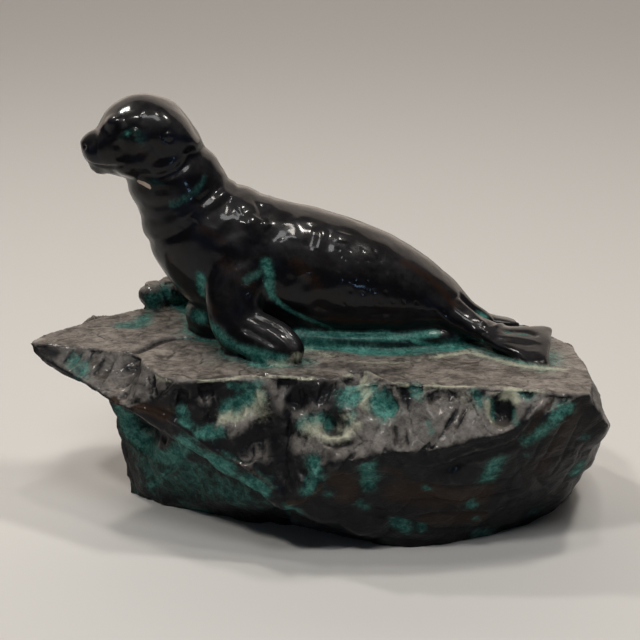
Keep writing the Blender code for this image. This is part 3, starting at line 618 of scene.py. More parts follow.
# Incised dashes on the flank: first pixel, steps across and down, and each dash's half length in pixels
DASH_FIRST = (338, 250)
DASH_STEP = (12.0, 10.5)
DASH_COLUMNS = 10
DASH_ROWS = 7
DASH_HALF = (2.4, 1.9)
DASH_RADIUS = 5
DASH_DEPTH = 2
# Pixels of the upper limit
DASH_TOP = [(330, 236), (356, 246), (384, 252), (400, 262), (424, 276), (446, 292)]
DASH_BOTTOM = 318         # pixel row under which there are none

# Glaze dabs, and dabs of painted light and shade, placed by the photo's pixels: path of pixels, radius in
# tenths of a millimetre, strength
SEAL_TEAL_DABS = [
    # tear spot, chest, groove behind the shoulder, belly fold, hip
    ([(127, 133)], 16, 0.8),
    ([(122, 138), (134, 130), (140, 142)], 36, 0.3),
    ([(201, 277), (203, 294)], 26, 1.0),
    ([(150, 182), (162, 184)], 26, 0.25),
    ([(204, 178), (196, 190), (184, 199), (172, 204)], 24, 0.38),
    ([(246, 280), (260, 272)], 30, 0.42),
    ([(266, 262), (269, 276), (270, 290)], 28, 0.72),
    ([(266, 284), (273, 297), (290, 311), (314, 322), (332, 330)], 13, 1.0),
    ([(330, 331), (356, 333), (384, 332), (404, 336), (424, 344), (453, 347), (482, 342)], 12, 1.0),
    ([(440, 348), (458, 349), (478, 344)], 22, 1.0),
    ([(296, 333), (350, 336), (400, 337), (436, 333)], 24, 0.9),
    ([(478, 312), (486, 318)], 18, 1.0),
    ([(508, 331), (526, 334)], 16, 0.8),
]
TEAL_DABS = [
    # rock beside the seal
    ([(122, 302), (138, 296), (152, 300), (166, 292)], 48, 0.9),
    ([(176, 300), (186, 310)], 40, 0.7),
    ([(181, 306), (199, 317), (212, 328), (222, 338), (236, 348), (256, 355), (282, 361)], 36, 1.0),
    ([(308, 344), (340, 349), (372, 353), (404, 353), (432, 350), (458, 347), (476, 347)], 46, 0.9),
    ([(500, 358), (530, 365), (556, 369)], 14, 0.7),
    # front, from left to right
    ([(74, 362), (82, 372)], 57, 0.7),
    ([(182, 413), (186, 423)], 35, 0.9),
    ([(200, 434), (220, 431)], 35, 0.9),
    ([(228, 410), (246, 400), (256, 396)], 42, 1.1),
    ([(246, 386), (258, 384)], 32, 0.7),
    ([(232, 385), (240, 388)], 24, 0.7),
    ([(304, 424), (318, 420), (326, 424)], 40, 0.9),
    ([(352, 414), (350, 420)], 30, 0.8),
    ([(352, 396), (362, 390), (376, 402), (386, 410)], 64, 1.0),
    ([(414, 388), (420, 396)], 35, 0.8),
    ([(474, 392), (480, 402)], 30, 0.8),
    ([(488, 400), (494, 416)], 27, 0.8),
    ([(518, 394), (530, 396)], 27, 0.7),
    ([(512, 412), (516, 422)], 24, 0.7),
    ([(428, 420), (432, 432)], 19, 0.6),
    ([(314, 462), (316, 478), (308, 490)], 41, 0.9),
    ([(368, 468), (370, 486)], 41, 0.9),
    ([(327, 495)], 30, 0.8),
    ([(359, 503), (366, 506)], 30, 0.5),
    ([(542, 432), (560, 412), (568, 408)], 38, 0.9),
    ([(528, 440), (540, 434)], 35, 0.9),
    ([(488, 476), (496, 462)], 51, 0.9),
    ([(427, 488)], 24, 0.9),
    ([(471, 504)], 32, 0.8),
    ([(527, 455)], 24, 0.5),
    ([(577, 472), (582, 462)], 38, 0.8),
    ([(586, 438)], 35, 0.5),
    ([(396, 522), (406, 528)], 38, 0.9),
    ([(421, 527)], 30, 0.8),
    ([(476, 518)], 24, 0.6),
    # lower left block
    ([(122, 412), (130, 430), (146, 444), (160, 455), (174, 456), (186, 444)], 50, 1.2),
    ([(214, 462), (224, 468)], 62, 1.2),
    ([(248, 482), (262, 490)], 50, 1.0),
    ([(190, 448), (204, 456)], 46, 0.7),
    ([(150, 486), (182, 462)], 32, 0.7),
    ([(288, 508), (300, 512)], 30, 0.7),
    ([(128, 430), (140, 460), (150, 486)], 100, 0.42),
    ([(150, 470), (190, 480), (240, 496)], 120, 0.55),
    ([(180, 466), (206, 470)], 60, 0.5),
    ([(262, 500), (290, 510)], 40, 0.5),
]
# cream glaze, and painted glints along the front edge of the top
CREAM_AND_GLINT_DABS = [
    ([(164, 306), (188, 297)], 29, 0.51),
    ([(270, 362), (284, 364), (298, 358), (306, 350), (330, 357)], 25, 0.51),
    ([(350, 361), (372, 363), (396, 363), (420, 360)], 14, 0.5),
    ([(432, 358), (458, 353), (474, 353), (490, 358), (512, 364), (540, 368), (562, 369)], 22, 0.68),
    ([(224, 418), (240, 414), (254, 406), (260, 396)], 32, 0.77),
    ([(262, 402), (262, 414)], 41, 0.42),
    ([(308, 428), (318, 430)], 41, 0.68),
    ([(338, 429), (350, 430), (358, 424)], 26, 0.6),
    ([(326, 438), (336, 439), (346, 436)], 24, 0.85),
    ([(344, 418), (350, 416)], 22, 0.59),
    ([(364, 380), (366, 394), (366, 406)], 32, 0.68),
    ([(488, 404), (493, 420)], 22, 0.77),
    ([(504, 397), (512, 390), (515, 400)], 25, 0.85),
    ([(462, 396), (472, 404)], 36, 0.34),
    ([(434, 384), (440, 386)], 25, 0.51),
    # painted glint: a thin light line along the front edge of the top
    ([(155, 376), (170, 381), (203, 381), (225, 380), (247, 377), (276, 377), (312, 379)], 9, 0.75),
    ([(312, 379), (345, 377), (367, 373), (389, 382), (411, 386), (431, 387), (473, 387)], 9, 0.8),
    ([(473, 387), (495, 386), (520, 390), (546, 393)], 8, 0.6),
]
BROWN_REFLECTION_DABS = [
    # painted warm reflections on the seal: shoulder, ribs, hip, cheek, throat
    ([(200, 226), (212, 234), (222, 240)], 30, 0.45),
    ([(222, 262), (236, 274), (250, 286)], 48, 0.45),
    ([(296, 262), (310, 276), (318, 286)], 48, 0.5),
    ([(404, 262), (424, 274), (442, 290), (454, 304)], 30, 0.65),
    ([(140, 150), (152, 160)], 46, 0.4),
    ([(160, 240), (172, 262)], 50, 0.4),
    ([(206, 300), (216, 312)], 36, 0.45),
    ([(330, 318), (400, 322)], 30, 0.5),
    # painted brown reflection on the rock's underside faces and lower front
    ([(86, 386), (98, 394), (114, 401), (142, 408), (166, 418)], 24, 1.2),
    ([(158, 406), (172, 412)], 22, 0.8),
    ([(150, 434), (160, 442)], 18, 0.5),
    ([(200, 437), (222, 454), (240, 464), (257, 474), (274, 488)], 10, 0.9),
    ([(288, 504), (298, 502), (310, 496), (320, 486)], 18, 0.9),
    ([(336, 478), (350, 484), (346, 498)], 60, 0.8),
    ([(400, 492), (440, 496), (480, 494)], 90, 0.8),
    ([(430, 520), (480, 518)], 70, 0.7),
    ([(540, 470), (560, 440), (574, 412)], 100, 0.5),
    ([(524, 444), (540, 414), (552, 402)], 20, 0.7),
    ([(386, 470), (400, 474)], 30, 0.6),
]
# Painted shade: black laid in recesses, pockets and under the slab, with some black patches on the top
SHADE_AND_BLACK_DABS = [
    ([(296, 400), (310, 392), (324, 394)], 60, 1.2),
    ([(286, 412), (287, 432)], 26, 1.08),
    ([(405, 388), (406, 398)], 31, 1.2),
    ([(134, 356), (150, 346), (172, 338)], 36, 0.4),
    ([(128, 368), (138, 372)], 31, 0.96),
    ([(44, 348), (54, 354)], 36, 0.96),
    ([(194, 412), (206, 418)], 43, 0.96),
    ([(186, 388), (204, 392), (220, 388)], 29, 0.84),
    ([(258, 466), (272, 478), (282, 490)], 36, 1.08),
    ([(346, 365), (372, 371), (394, 371)], 50, 0.55),
    ([(400, 470), (424, 471), (450, 464)], 24, 1.08),
    ([(476, 458), (496, 450), (514, 444)], 22, 1.08),
    ([(500, 404), (504, 416)], 36, 0.6),
    ([(336, 446), (350, 442)], 19, 1.08),
    ([(148, 424), (162, 432), (170, 440)], 36, 1.2),
    ([(476, 397), (484, 393)], 12, 0.96),
    ([(528, 410), (520, 426)], 14, 0.96),
    ([(284, 462), (292, 478)], 41, 0.84),
    ([(186, 402), (194, 418)], 46, 1.0),
    ([(276, 440), (284, 460), (296, 484)], 56, 1.0),
    ([(326, 388), (340, 396), (336, 408)], 40, 0.9),
    ([(60, 352), (78, 358), (100, 366)], 40, 0.5),
    ([(262, 392), (272, 410), (270, 440)], 36, 0.7),
    ([(330, 456), (356, 470), (392, 462)], 36, 0.7),
    ([(176, 398), (150, 390), (130, 380)], 26, 0.6),
]
# Bare patch on the throat, where glaze is missing
BARE_PATCH = [(139, 182), (150, 187)]
BARE_PATCH_RADIUS = 11


def spline(rows, steps):
    """Read a smooth curve through the rows, with this many steps to each stretch."""
    rows = np.array(rows, dtype=float)
    ends = [2 * rows[0] - rows[1], 2 * rows[-1] - rows[-2]]
    knots = np.vstack([ends[0], rows, ends[1]])
    out = []
    for before, start, stop, after in zip(knots, knots[1:], knots[2:], knots[3:]):
        for step in range(steps):
            t = step / steps
            out.append(start + 0.5 * t * (
                stop - before
                + t * (2 * before - 5 * start + 4 * stop - after)
                + t * t * (3 * start - 3 * stop + after - before)
            ))
    out.append(rows[-1])
    return np.array(out)


def add_rings(bm, rings):
    """Skin a list of closed rings, and close both ends on their middles."""
    rows = [[bm.verts.new(point) for point in ring] for ring in rings]
    for here, there in zip(rows, rows[1:]):
        for i, vert in enumerate(here):
            j = (i + 1) % len(here)
            bm.faces.new((vert, here[j], there[j], there[i]))
    for row, flip in ((rows[0], True), (rows[-1], False)):
        middle = bm.verts.new(sum((vert.co for vert in row), Vector()) / len(row))
        for i, vert in enumerate(row):
            pair = (vert, row[(i + 1) % len(row)])
            bm.faces.new((middle, *(reversed(pair) if flip else pair)))


def add_limb(bm, rows, across, folds=()):
    """Loft flattened rings along a spine: x, y, z, half width, half thickness."""
    line = spline(rows, RING_STEPS)
    heading = np.gradient(line[:, :3], axis=0)
    rings = []
    for number, (point, ahead) in enumerate(zip(line, heading)):
        ahead = Vector(ahead).normalized()
        side = Vector(across)
        side = (side - ahead * side.dot(ahead)).normalized()
        face = ahead.cross(side)
        middle = Vector(point[:3])
        pressed = sum(
            depth * math.exp(-((number / RING_STEPS - place) / FOLD_REACH) ** 2)
            for place, depth in folds
        )
        wide = max(point[3], THINNEST) - pressed
        deep = max(point[4], THINNEST) - pressed
        ring = []
        for i in range(RING_SIDES):
            turn = 2 * math.pi * i / RING_SIDES
            ring.append(middle + side * wide * math.cos(turn) + face * deep * math.sin(turn))
        rings.append(ring)
    add_rings(bm, rings)


def add_round(bm, form, side=1):
    """Add a rounded lump on the seal: its place, on either side of the midline, and half sizes."""
    place = Vector((form[0], SEAL_MIDLINE + side * form[1], ROCK_TOP + form[2]))
    sizes = Matrix.Diagonal((form[3], form[4], form[5], 1.0))
    bmesh.ops.create_uvsphere(
        bm, u_segments=ROUND_SEGMENTS, v_segments=ROUND_SEGMENTS // 2, radius=1.0,
        matrix=Matrix.Translation(place) @ sizes,
    )


def on_midline(rows):
    """Move rows measured off the midline and above the rock's top into place."""
    return [(r[0], SEAL_MIDLINE + r[1], ROCK_TOP + r[2], *r[3:]) for r in rows]


def above_rock(rows):
    """Raise rows measured above the rock's top into place."""
    return [(r[0], r[1], ROCK_TOP + r[2], *r[3:]) for r in rows]


def add_head(bm):
    """Loft upright rings for the head, add its rounded forms, and turn it a little."""
    first = len(bm.verts)
    rings = []
    for x, top, under, wide in spline(HEAD, RING_STEPS):
        middle = ROCK_TOP + (top + under) / 2
        deep = max((top - under) / 2, THINNEST)
        ring = []
        for i in range(RING_SIDES):
            turn = -2 * math.pi * i / RING_SIDES
            ring.append(Vector((
                x,
                SEAL_MIDLINE + max(wide, THINNEST) * math.cos(turn),
                middle + deep * math.sin(turn),
            )))
        rings.append(ring)
    add_rings(bm, rings)
    for form in (BROW, CHEEK, LIP, EYE):
        add_round(bm, form)
        add_round(bm, form, -1)
    for form in (CHIN, NOSE):
        add_round(bm, form)
    turn_head(bm, first)


def turn_head(bm, first):
    """Turn what was added since the vertex of this number about the skull's upright line."""
    bm.verts.ensure_lookup_table()
    bmesh.ops.rotate(
        bm, verts=bm.verts[first:], cent=Vector((HEAD_PIVOT_X, SEAL_MIDLINE, 0)),
        matrix=Matrix.Rotation(math.radians(HEAD_TURN), 3, 'Z'),
    )


def far_side(rows):
    """Mirror a limb to the seal's far side."""
    return [(r[0], 2 * SEAL_MIDLINE - r[1], *r[2:]) for r in rows]


def seal_forms():
    """All the seal's forms, overlapping, in one mesh."""
    bm = bmesh.new()
    add_limb(bm, on_midline(TRUNK), (0, 1, 0), NECK_FOLDS)
    add_limb(bm, on_midline(BELLY), (0, 1, 0))
    add_head(bm)
    add_round(bm, SHOULDER_LUMP)
    add_round(bm, SHOULDER_LUMP, -1)
    for rows, across in ((FORE_ARM, ARM_ACROSS), (FORE_FLIPPER, FORE_ACROSS)):
        near = above_rock(rows)
        add_limb(bm, near, across)
        add_limb(bm, far_side(near), (across[0], -across[1], across[2]))
    add_limb(bm, above_rock(HIND_FLIPPER), HIND_ACROSS)
    add_limb(bm, above_rock(FAR_HIND_FLIPPER), FAR_HIND_ACROSS)
    bmesh.ops.recalc_face_normals(bm, faces=bm.faces)
    return bm


def add_block(bm, rim, foot):
    """Add the convex block round upper corners, given by their drop, and lower corners.

    Corners on the ground go under it, and the flat cut comes later.
    """
    points = [(x, y, ROCK_TOP - drop) for x, y, drop in rim]
    points += [(x, y, z if z > 0 else -UNDERGROUND) for x, y, z in foot]
    block = bmesh.new()
    for point in points:
        block.verts.new(point)
    made = bmesh.ops.convex_hull(block, input=block.verts)
    spare = [g for g in made["geom_interior"] if isinstance(g, bmesh.types.BMVert)]
    bmesh.ops.delete(block, geom=spare, context='VERTS')
    bmesh.ops.recalc_face_normals(block, faces=block.faces)
    copy_into(bm, block)


def copy_into(bm, other):
    """Add another mesh's faces to this one."""
    new = {vert: bm.verts.new(vert.co) for vert in other.verts}
    for face in other.faces:
        bm.faces.new([new[vert] for vert in face.verts])
    other.free()


def rock_forms():
    """All the rock's blocks and rubble, overlapping, in one mesh."""
    bm = bmesh.new()
    add_block(bm, TIP_RIM, TIP_FOOT)
    add_block(bm, SLAB_RIM, SLAB_FOOT)
    add_block(bm, FOOT_RIM, FOOT_GROUND)
    add_block(bm, MAIN_RIM, MAIN_BODY + MAIN_GROUND)
    for x, y, height, size in RUBBLE:
        place = Matrix.Translation((x, y, ROCK_TOP + height))
        bmesh.ops.create_icosphere(bm, subdivisions=2, radius=size, matrix=place)
    bmesh.ops.recalc_face_normals(bm, faces=bm.faces)
    return bm


def skin(forms):
    """Join overlapping forms into one closed skin on the grid."""
    mesh = bpy.data.meshes.new("forms")
    forms.to_mesh(mesh)
    forms.free()
    item = bpy.data.objects.new("forms", mesh)
    bpy.context.scene.collection.objects.link(item)
    remesh = item.modifiers.new("join", 'REMESH')
    remesh.mode = 'VOXEL'
    remesh.voxel_size = GRID
    graph = bpy.context.evaluated_depsgraph_get()
    joined = bpy.data.meshes.new_from_object(item.evaluated_get(graph))
    bpy.data.objects.remove(item, do_unlink=True)
    return joined


def drop_crumbs(mesh):
    """Keep the one large body, without crumbs that came loose from the rubble."""
    pairs = np.empty(len(mesh.edges) * 2, dtype=np.int32)
    mesh.edges.foreach_get("vertices", pairs)
    first, second = pairs.reshape(-1, 2).T
    label = np.arange(len(mesh.vertices))
    while True:
        low = np.minimum(label[first], label[second])
        lower = label.copy()
        np.minimum.at(lower, first, low)
        np.minimum.at(lower, second, low)
        lower = lower[lower]
        if (lower == label).all():
            break
        label = lower
    body = np.bincount(label).argmax()
    bm = bmesh.new()
    bm.from_mesh(mesh)
    bm.verts.ensure_lookup_table()
    crumbs = [bm.verts[i] for i in np.flatnonzero(label != body)]
    bmesh.ops.delete(bm, geom=crumbs, context='VERTS')
    bm.to_mesh(mesh)
    bm.free()


class Surface:
    """The skin as arrays of points and edges, for modelling it in small moves."""

    def __init__(self, mesh):
        self.mesh = mesh
        self.count = len(mesh.vertices)
        flat = np.empty(self.count * 3)
        mesh.vertices.foreach_get("co", flat)
        self.points = flat.reshape(-1, 3)
        pairs = np.empty(len(mesh.edges) * 2, dtype=np.int32)
        mesh.edges.foreach_get("vertices", pairs)
        self.first, self.second = pairs.reshape(-1, 2).T
        self.joined = np.bincount(pairs, minlength=self.count)
        self.read_normals()

    def read_normals(self):
        """Put the points into the mesh and take its normals from there."""
        self.mesh.vertices.foreach_set("co", self.points.ravel())
        self.mesh.update()
        flat = np.empty(self.count * 3)
        self.mesh.vertex_normals.foreach_get("vector", flat)
        self.normals = flat.reshape(-1, 3)

    def average(self, values):
        """Mean of each point's neighbours, for an array with a row to each point."""
        columns = []
        for column in values.reshape(self.count, -1).T:
            total = np.bincount(self.first, column[self.second], self.count)
            total += np.bincount(self.second, column[self.first], self.count)
            columns.append(total / self.joined)
        return np.array(columns).T.reshape(values.shape)

    def softened(self, values, passes):
        """The values after this many passes of blending with their neighbours'."""
        for _ in range(passes):
            values = 0.5 * (values + self.average(values))
        return values

    def sunk(self, passes):
        """How far each point lies under its softened surroundings, in metres."""
        return ((self.softened(self.points, passes) - self.points) * self.normals).sum(axis=1)

    def tree(self):
        """A search tree over the faces as they are now."""
        corners = np.empty(len(self.mesh.loops), dtype=np.int32)
        self.mesh.loops.foreach_get("vertex_index", corners)
        return BVHTree.FromPolygons(self.points.tolist(), corners.reshape(-1, 4).tolist())


def rise(values, low, high):
    """From 0 at low to 1 at high, smoothly."""
    share = np.clip((values - low) / (high - low), 0, 1)
    return share * share * (3 - 2 * share)


def distance_to_seal(surface, seal_tree):
    """Distance from each point to the seal's own forms. What lies far below them counts as far."""
    gap = np.full(surface.count, 1.0)
    for i in np.flatnonzero(surface.points[:, 2] > ROCK_TOP - SEAL_LOWEST):
        gap[i] = seal_tree.find_nearest(surface.points[i].tolist())[3]
    return gap


def soften_skin(surface, seal):
    """Soften the seal into smooth fillets, and the rock less, so that it keeps its edges."""
    for number in range(SEAL_PASSES):
        share = 1.0 if number < ROCK_PASSES else seal[:, None]
        surface.points += 0.5 * share * (surface.average(surface.points) - surface.points)
    surface.read_normals()


def roll_seal(surface, seal):
    """Make the seal's surface softly uneven, as modelled clay is."""
    out = np.zeros(surface.count)
    for i in np.flatnonzero(seal > 0):
        point = Vector(surface.points[i].tolist())
        for size, depth in zip(LUMP_SIZES, LUMP_DEPTHS):
            out[i] += depth * noise.noise(point / size)
    surface.points += surface.normals * (out * seal)[:, None]
    surface.read_normals()


def break_rock(surface, rough):
    """Give the rock its broken faces, scoops, chips, wrinkles and knocks."""
    out = np.zeros(surface.count)
    for i in np.flatnonzero(rough > 0):
        point = Vector(surface.points[i].tolist())
        flat_top = surface.normals[i][2] > FLAT_TOP_TILT
        near, second = noise.voronoi(point / CRAG_SIZE)[0][:2]
        crag = 2 * CRAG_DEPTH * (second - near - CRAG_LEVEL)
        crag += GRIT_DEPTH * noise.noise(point / GRIT_SIZE)
        warped = point + WARP_DEPTH * noise.noise_vector(point / WARP_SIZE)
        near, second = noise.voronoi(warped / SCOOP_SIZE)[0][:2]
        scoop = SCOOP_DEPTH * (SCOOP_LEVEL - second + near)
        near = noise.voronoi(warped / CHIP_SIZE)[0][0]
        scoop -= CHIP_DEPTH * (near - CHIP_LEVEL)
        if flat_top:
            crack = abs(noise.noise(Vector((warped.x / CRACK_STRETCH, *warped.yz)) / CRACK_SIZE))
            drawn = Vector((point.x / WRINKLE_STRETCH, *point.yz))
            wrinkle = WRINKLE_DEPTH * noise.noise(drawn / WRINKLE_SIZE)
            wrinkle -= CRACK_DEPTH * max(0.0, 1 - crack / CRACK_WIDTH)
            out[i] = FLAT_TOP_ROUGHNESS * (crag + SCOOP_ON_TOP * scoop) + wrinkle
        else:
            out[i] = crag + scoop
    for x, y, drop, radius, depth in KNOCKS:
        reach = np.linalg.norm(surface.points - (x, y, ROCK_TOP - drop), axis=1) / radius
        out -= depth * np.clip(1 - reach ** 2, 0, 1) ** 2
    surface.points += surface.normals * (out * rough)[:, None]
    surface.read_normals()


def sharpen(surface, share):
    """Crisp the rock's edges: move points away from their softened surroundings."""
    surface.points -= surface.normals * (share * surface.sunk(EDGE_PASSES))[:, None]
    surface.read_normals()


def camera_axes():
    """The camera's direction of view and its upward direction."""
    tilt = math.radians(CAMERA_ELEVATION)
    ahead = Vector((0, math.cos(tilt), -math.sin(tilt)))
    up = Vector((0, math.sin(tilt), math.cos(tilt)))
    return ahead, up


def photo_point(tree, pixel):
    """Where a pixel of the photograph falls on the skin, or the skin's nearest place to it."""
    ahead, up = camera_axes()
    start = Vector(CAMERA_TARGET) + Vector((*BOX_MIDDLE, 0)) - ahead * CAMERA_DISTANCE
    focal = CAMERA_LENS / SENSOR * IMAGE_SIZE
    across = (pixel[0] - IMAGE_SIZE / 2) / focal
    down = (pixel[1] - IMAGE_SIZE / 2) / focal
    ray = (ahead + Vector((across, 0, 0)) - up * down).normalized()
    hit = tree.ray_cast(start, ray)[0]
    if hit is None:
        hit = tree.find_nearest(start + ray * (SEAL_MIDLINE - start.y) / ray.y)[0]
    return hit


def photo_path(tree, pixels):
    """A smooth path on the skin through pixels of the photograph."""
    path = [photo_point(tree, pixel) for pixel in pixels]
    return spline(path, PATH_STEPS) if len(path) > 2 else np.array(path)


def far_path(tree, path, turn):
    """The same path on the seal's other side, across a plane turned by this many degrees."""
    angle = math.radians(turn)
    across = Vector((-math.sin(angle), math.cos(angle), 0))
    pivot = Vector((HEAD_PIVOT_X, SEAL_MIDLINE, 0))
    places = [Vector(point) - 2 * across * (Vector(point) - pivot).dot(across) for point in path]
    return np.array([tree.find_nearest(place)[0] for place in places])


def along_path(points, path, reach):
    """The points within reach of a path: their numbers, distances to it and shares of its length."""
    close = (points > path.min(axis=0) - reach) & (points < path.max(axis=0) + reach)
    near = np.flatnonzero(close.all(axis=1))
    spots = points[near]
    apart = np.linalg.norm(spots - path[0], axis=1)
    share = np.full(len(near), 0.5 if len(path) == 1 else 0.0)
    for number, (start, stop) in enumerate(zip(path, path[1:])):
        run = stop - start
        place = np.clip((spots - start) @ run / max(run @ run, 1e-12), 0, 1)
        here = np.linalg.norm(spots - start - place[:, None] * run, axis=1)
        closer = here < apart
        apart[closer] = here[closer]
        share[closer] = (number + place[closer]) / (len(path) - 1)
    return near, apart, share


def press(surface, path, radius, depth):
    """Press a soft groove along a path, fading at its ends. A depth under 0 raises a ridge.

    Radius and depth are in tenths of a millimetre, as in the tables.
    """
    radius, depth = radius / TENTHS_IN_METRE, depth / TENTHS_IN_METRE
    near, apart, share = along_path(surface.points, path, STROKE_REACH * radius)
    ends = rise(np.minimum(share, 1 - share), 0, STROKE_FADE)
    out = depth * np.exp(-(apart / radius) ** 2) * ends
    surface.points[near] -= surface.normals[near] * out[:, None]


def press_bead(surface, centre, *sizes):
    """Press a ring round a place, and raise the middle of it."""
    ring, width, depth, lift = (size / TENTHS_IN_METRE for size in sizes)
    near, apart, _ = along_path(surface.points, centre, ring + STROKE_REACH * width)
    out = lift * np.exp(-(apart / (BEAD_SHARE * ring)) ** 2)
    out -= depth * np.exp(-((apart - ring) / width) ** 2)
    surface.points[near] += surface.normals[near] * out[:, None]


def press_strokes(surface, tree, rows, turn=None):
    """Press rows of strokes, on the seal's far side too where a turn of its mirror plane is given."""
    for pixels, radius, depth in rows:
        path = photo_path(tree, pixels)
        press(surface, path, radius, depth)
        if turn is not None:
            press(surface, far_path(tree, path, turn), radius, depth)
    surface.read_normals()


def press_head_beads(surface, tree):
    """Eyes and ears, on both sides of the head."""
    for pixel, *sizes in HEAD_BEADS:
        near_side = photo_path(tree, [pixel])
        for centre in (near_side, far_path(tree, near_side, HEAD_TURN)):
            press_bead(surface, centre, *sizes)
    surface.read_normals()


def press_dashes(surface, tree):
    """Short slanting cuts on both flanks, in staggered rows under the back."""
    for row in range(DASH_ROWS):
        for column in range(DASH_COLUMNS):
            x = DASH_FIRST[0] + DASH_STEP[0] * (column + 0.5 * (row % 2))
            y = DASH_FIRST[1] + DASH_STEP[1] * row
            x += DASH_STRAY * noise.noise(Vector((x, y, 0)) / DASH_STEP[0])
            y += DASH_STRAY * noise.noise(Vector((y, x, 1)) / DASH_STEP[0])
            top = np.interp(x, *zip(*DASH_TOP))
            if not top < y < DASH_BOTTOM or x > DASH_TOP[-1][0]:
                continue
            ends = [(x - DASH_HALF[0], y - DASH_HALF[1]), (x + DASH_HALF[0], y + DASH_HALF[1])]
            middle = photo_path(tree, [ends[0], (x, y), ends[1]])
            press(surface, middle, DASH_RADIUS, DASH_DEPTH)
            press(surface, far_path(tree, middle, 0), DASH_RADIUS, DASH_DEPTH)
    surface.read_normals()


def dab(surface, tree, rows, far=False):
    """How strongly dabs of a glaze colour cover each point, from 0 to 1."""
    cover = np.zeros(surface.count)
    for pixels, tenths, strength in rows:
        radius = tenths / TENTHS_IN_METRE
        path = photo_path(tree, pixels)
        for place in (path, far_path(tree, path, 0)) if far else (path,):
            near, apart, _ = along_path(surface.points, place, DAB_REACH * radius)
            cover[near] = np.maximum(cover[near], strength * np.exp(-(apart / radius) ** 2))
    return cover


def patches(surface):
    """Soft random patches over the surface, from about -1 to 1."""
    shift = PATCH_SEED * Vector((1, -1, 2))
    places = (Vector(point) / PATCH_SIZE + shift for point in surface.points.tolist())
    return np.array([noise.fractal(place, PATCH_ROUGHNESS, 2.0, PATCH_OCTAVES) for place in places])


def glaze_cover(surface, tree, seal, gap):
    """What the shader is told about each point: its share of every glaze colour and finish.

    Teal is the strongest of the random, the pooled and the painted sorts.
    """
    fine = surface.sunk(FINE_PASSES)
    broad = surface.sunk(BROAD_PASSES)
    faces = surface.softened(surface.normals, FACE_PASSES)[:, 2]
    spots = patches(surface)
    rock = 1 - seal
    up = surface.normals[:, 2]
    hollow = rise(fine, *HOLLOW_RANGE)
    pooled = rise(broad, *POOL_RANGE)
    beside = np.exp(-gap / HALO_REACH) * rock * rise(up, *BESIDE_RANGE)
    front = rise(-surface.normals[:, 1], *FRONT_RANGE) * rise(surface.points[:, 2], *FRONT_HEIGHTS)
    wild = (0.4 + 0.6 * pooled) * rise(spots, 0.0, 0.7) * rock * (1 - rise(up, *SLOPE_RANGE))
    painted = dab(surface, tree, TEAL_DABS) * (0.8 + 0.2 * np.maximum(pooled, hollow))
    teal = np.maximum.reduce([
        wild * (1 - (1 - FRONT_KEEPS) * front),
        HALO_STRENGTH * beside * (0.6 + 0.4 * rise(spots, -0.6, 0.4)),
        seal * rise(fine, *SEAL_POOL_RANGE) * SEAL_POOL_STRENGTH * rise(-spots, -0.3, 0.5),
        dab(surface, tree, SEAL_TEAL_DABS, far=True),
        painted,
    ])
    wild_cream = WILD_CREAM * wild * (1 - front) * rise(-spots, -0.5, 0)
    return {
        "seal": seal,
        "teal": teal,
        # cream glaze, with painted glints along the front edge of the top
        "cream": np.maximum(dab(surface, tree, CREAM_AND_GLINT_DABS), wild_cream),
        # painted warm reflection
        "brown": dab(surface, tree, BROWN_REFLECTION_DABS),
        # painted shade in recesses and under the slab, with some black patches
        "dark": dab(surface, tree, SHADE_AND_BLACK_DABS),
        "bare": dab(surface, tree, [(BARE_PATCH, BARE_PATCH_RADIUS, 1.0)]),
        "crest": rise(-fine, *CREST_RANGE),
        "hollow": hollow,
        # upward faces, which the shader paints lighter as if lit
        "upward": rise(faces, *LIGHT_FACE_RANGE),
        "flat_top": rise(up, *FLAT_TOP_RANGE) * rock,
    }


def thin_out(mesh, seal):
    """Cut the skin down to its number of triangles, the rock's faces before the seal's."""
    item = bpy.data.objects.new("skin", mesh)
    bpy.context.scene.collection.objects.link(item)
    group = item.vertex_groups.new(name="rock")
    for level in range(SEAL_LEVELS):
        share = level / (SEAL_LEVELS - 1)
        chosen = np.flatnonzero(np.round(seal * (SEAL_LEVELS - 1)) == level)
        group.add(chosen.tolist(), 1 - SEAL_HOLD * share, 'REPLACE')
    fewer = item.modifiers.new("fewer", 'DECIMATE')
    fewer.ratio = min(1.0, TRIANGLES / (2 * len(mesh.polygons)))
    fewer.use_collapse_triangulate = True
    fewer.vertex_group = group.name
    fewer.vertex_group_factor = SEAL_KEEPS
    graph = bpy.context.evaluated_depsgraph_get()
    thin = bpy.data.meshes.new_from_object(item.evaluated_get(graph))
    bpy.data.objects.remove(item, do_unlink=True)
    return thin


def cut_flat(mesh):
    """Cut the underside flat on the ground and close it."""
    bm = bmesh.new()
    bm.from_mesh(mesh)
    everything = bm.verts[:] + bm.edges[:] + bm.faces[:]
    cut = bmesh.ops.bisect_plane(
        bm, geom=everything, dist=1e-6, plane_co=(0, 0, 0), plane_no=(0, 0, 1), clear_inner=True
    )
    rim = [g for g in cut["geom_cut"] if isinstance(g, bmesh.types.BMEdge)]
    bmesh.ops.contextual_create(bm, geom=rim)
    bmesh.ops.triangulate(bm, faces=[f for f in bm.faces if len(f.verts) > 3])
    bmesh.ops.recalc_face_normals(bm, faces=bm.faces)
    bm.to_mesh(mesh)
    bm.free()


def carry_over(surface, cover, mesh):
    """Give the thinned mesh the cover values of the nearest points of the full skin."""
    tree = KDTree(surface.count)
    for number, point in enumerate(surface.points.tolist()):
        tree.insert(point, number)
    tree.balance()
    nearest = np.array([tree.find(vert.co)[1] for vert in mesh.vertices])
    for name, values in cover.items():
        layer = mesh.attributes.new(name, 'FLOAT', 'POINT')
        layer.data.foreach_set("value", values[nearest].astype(np.float32))


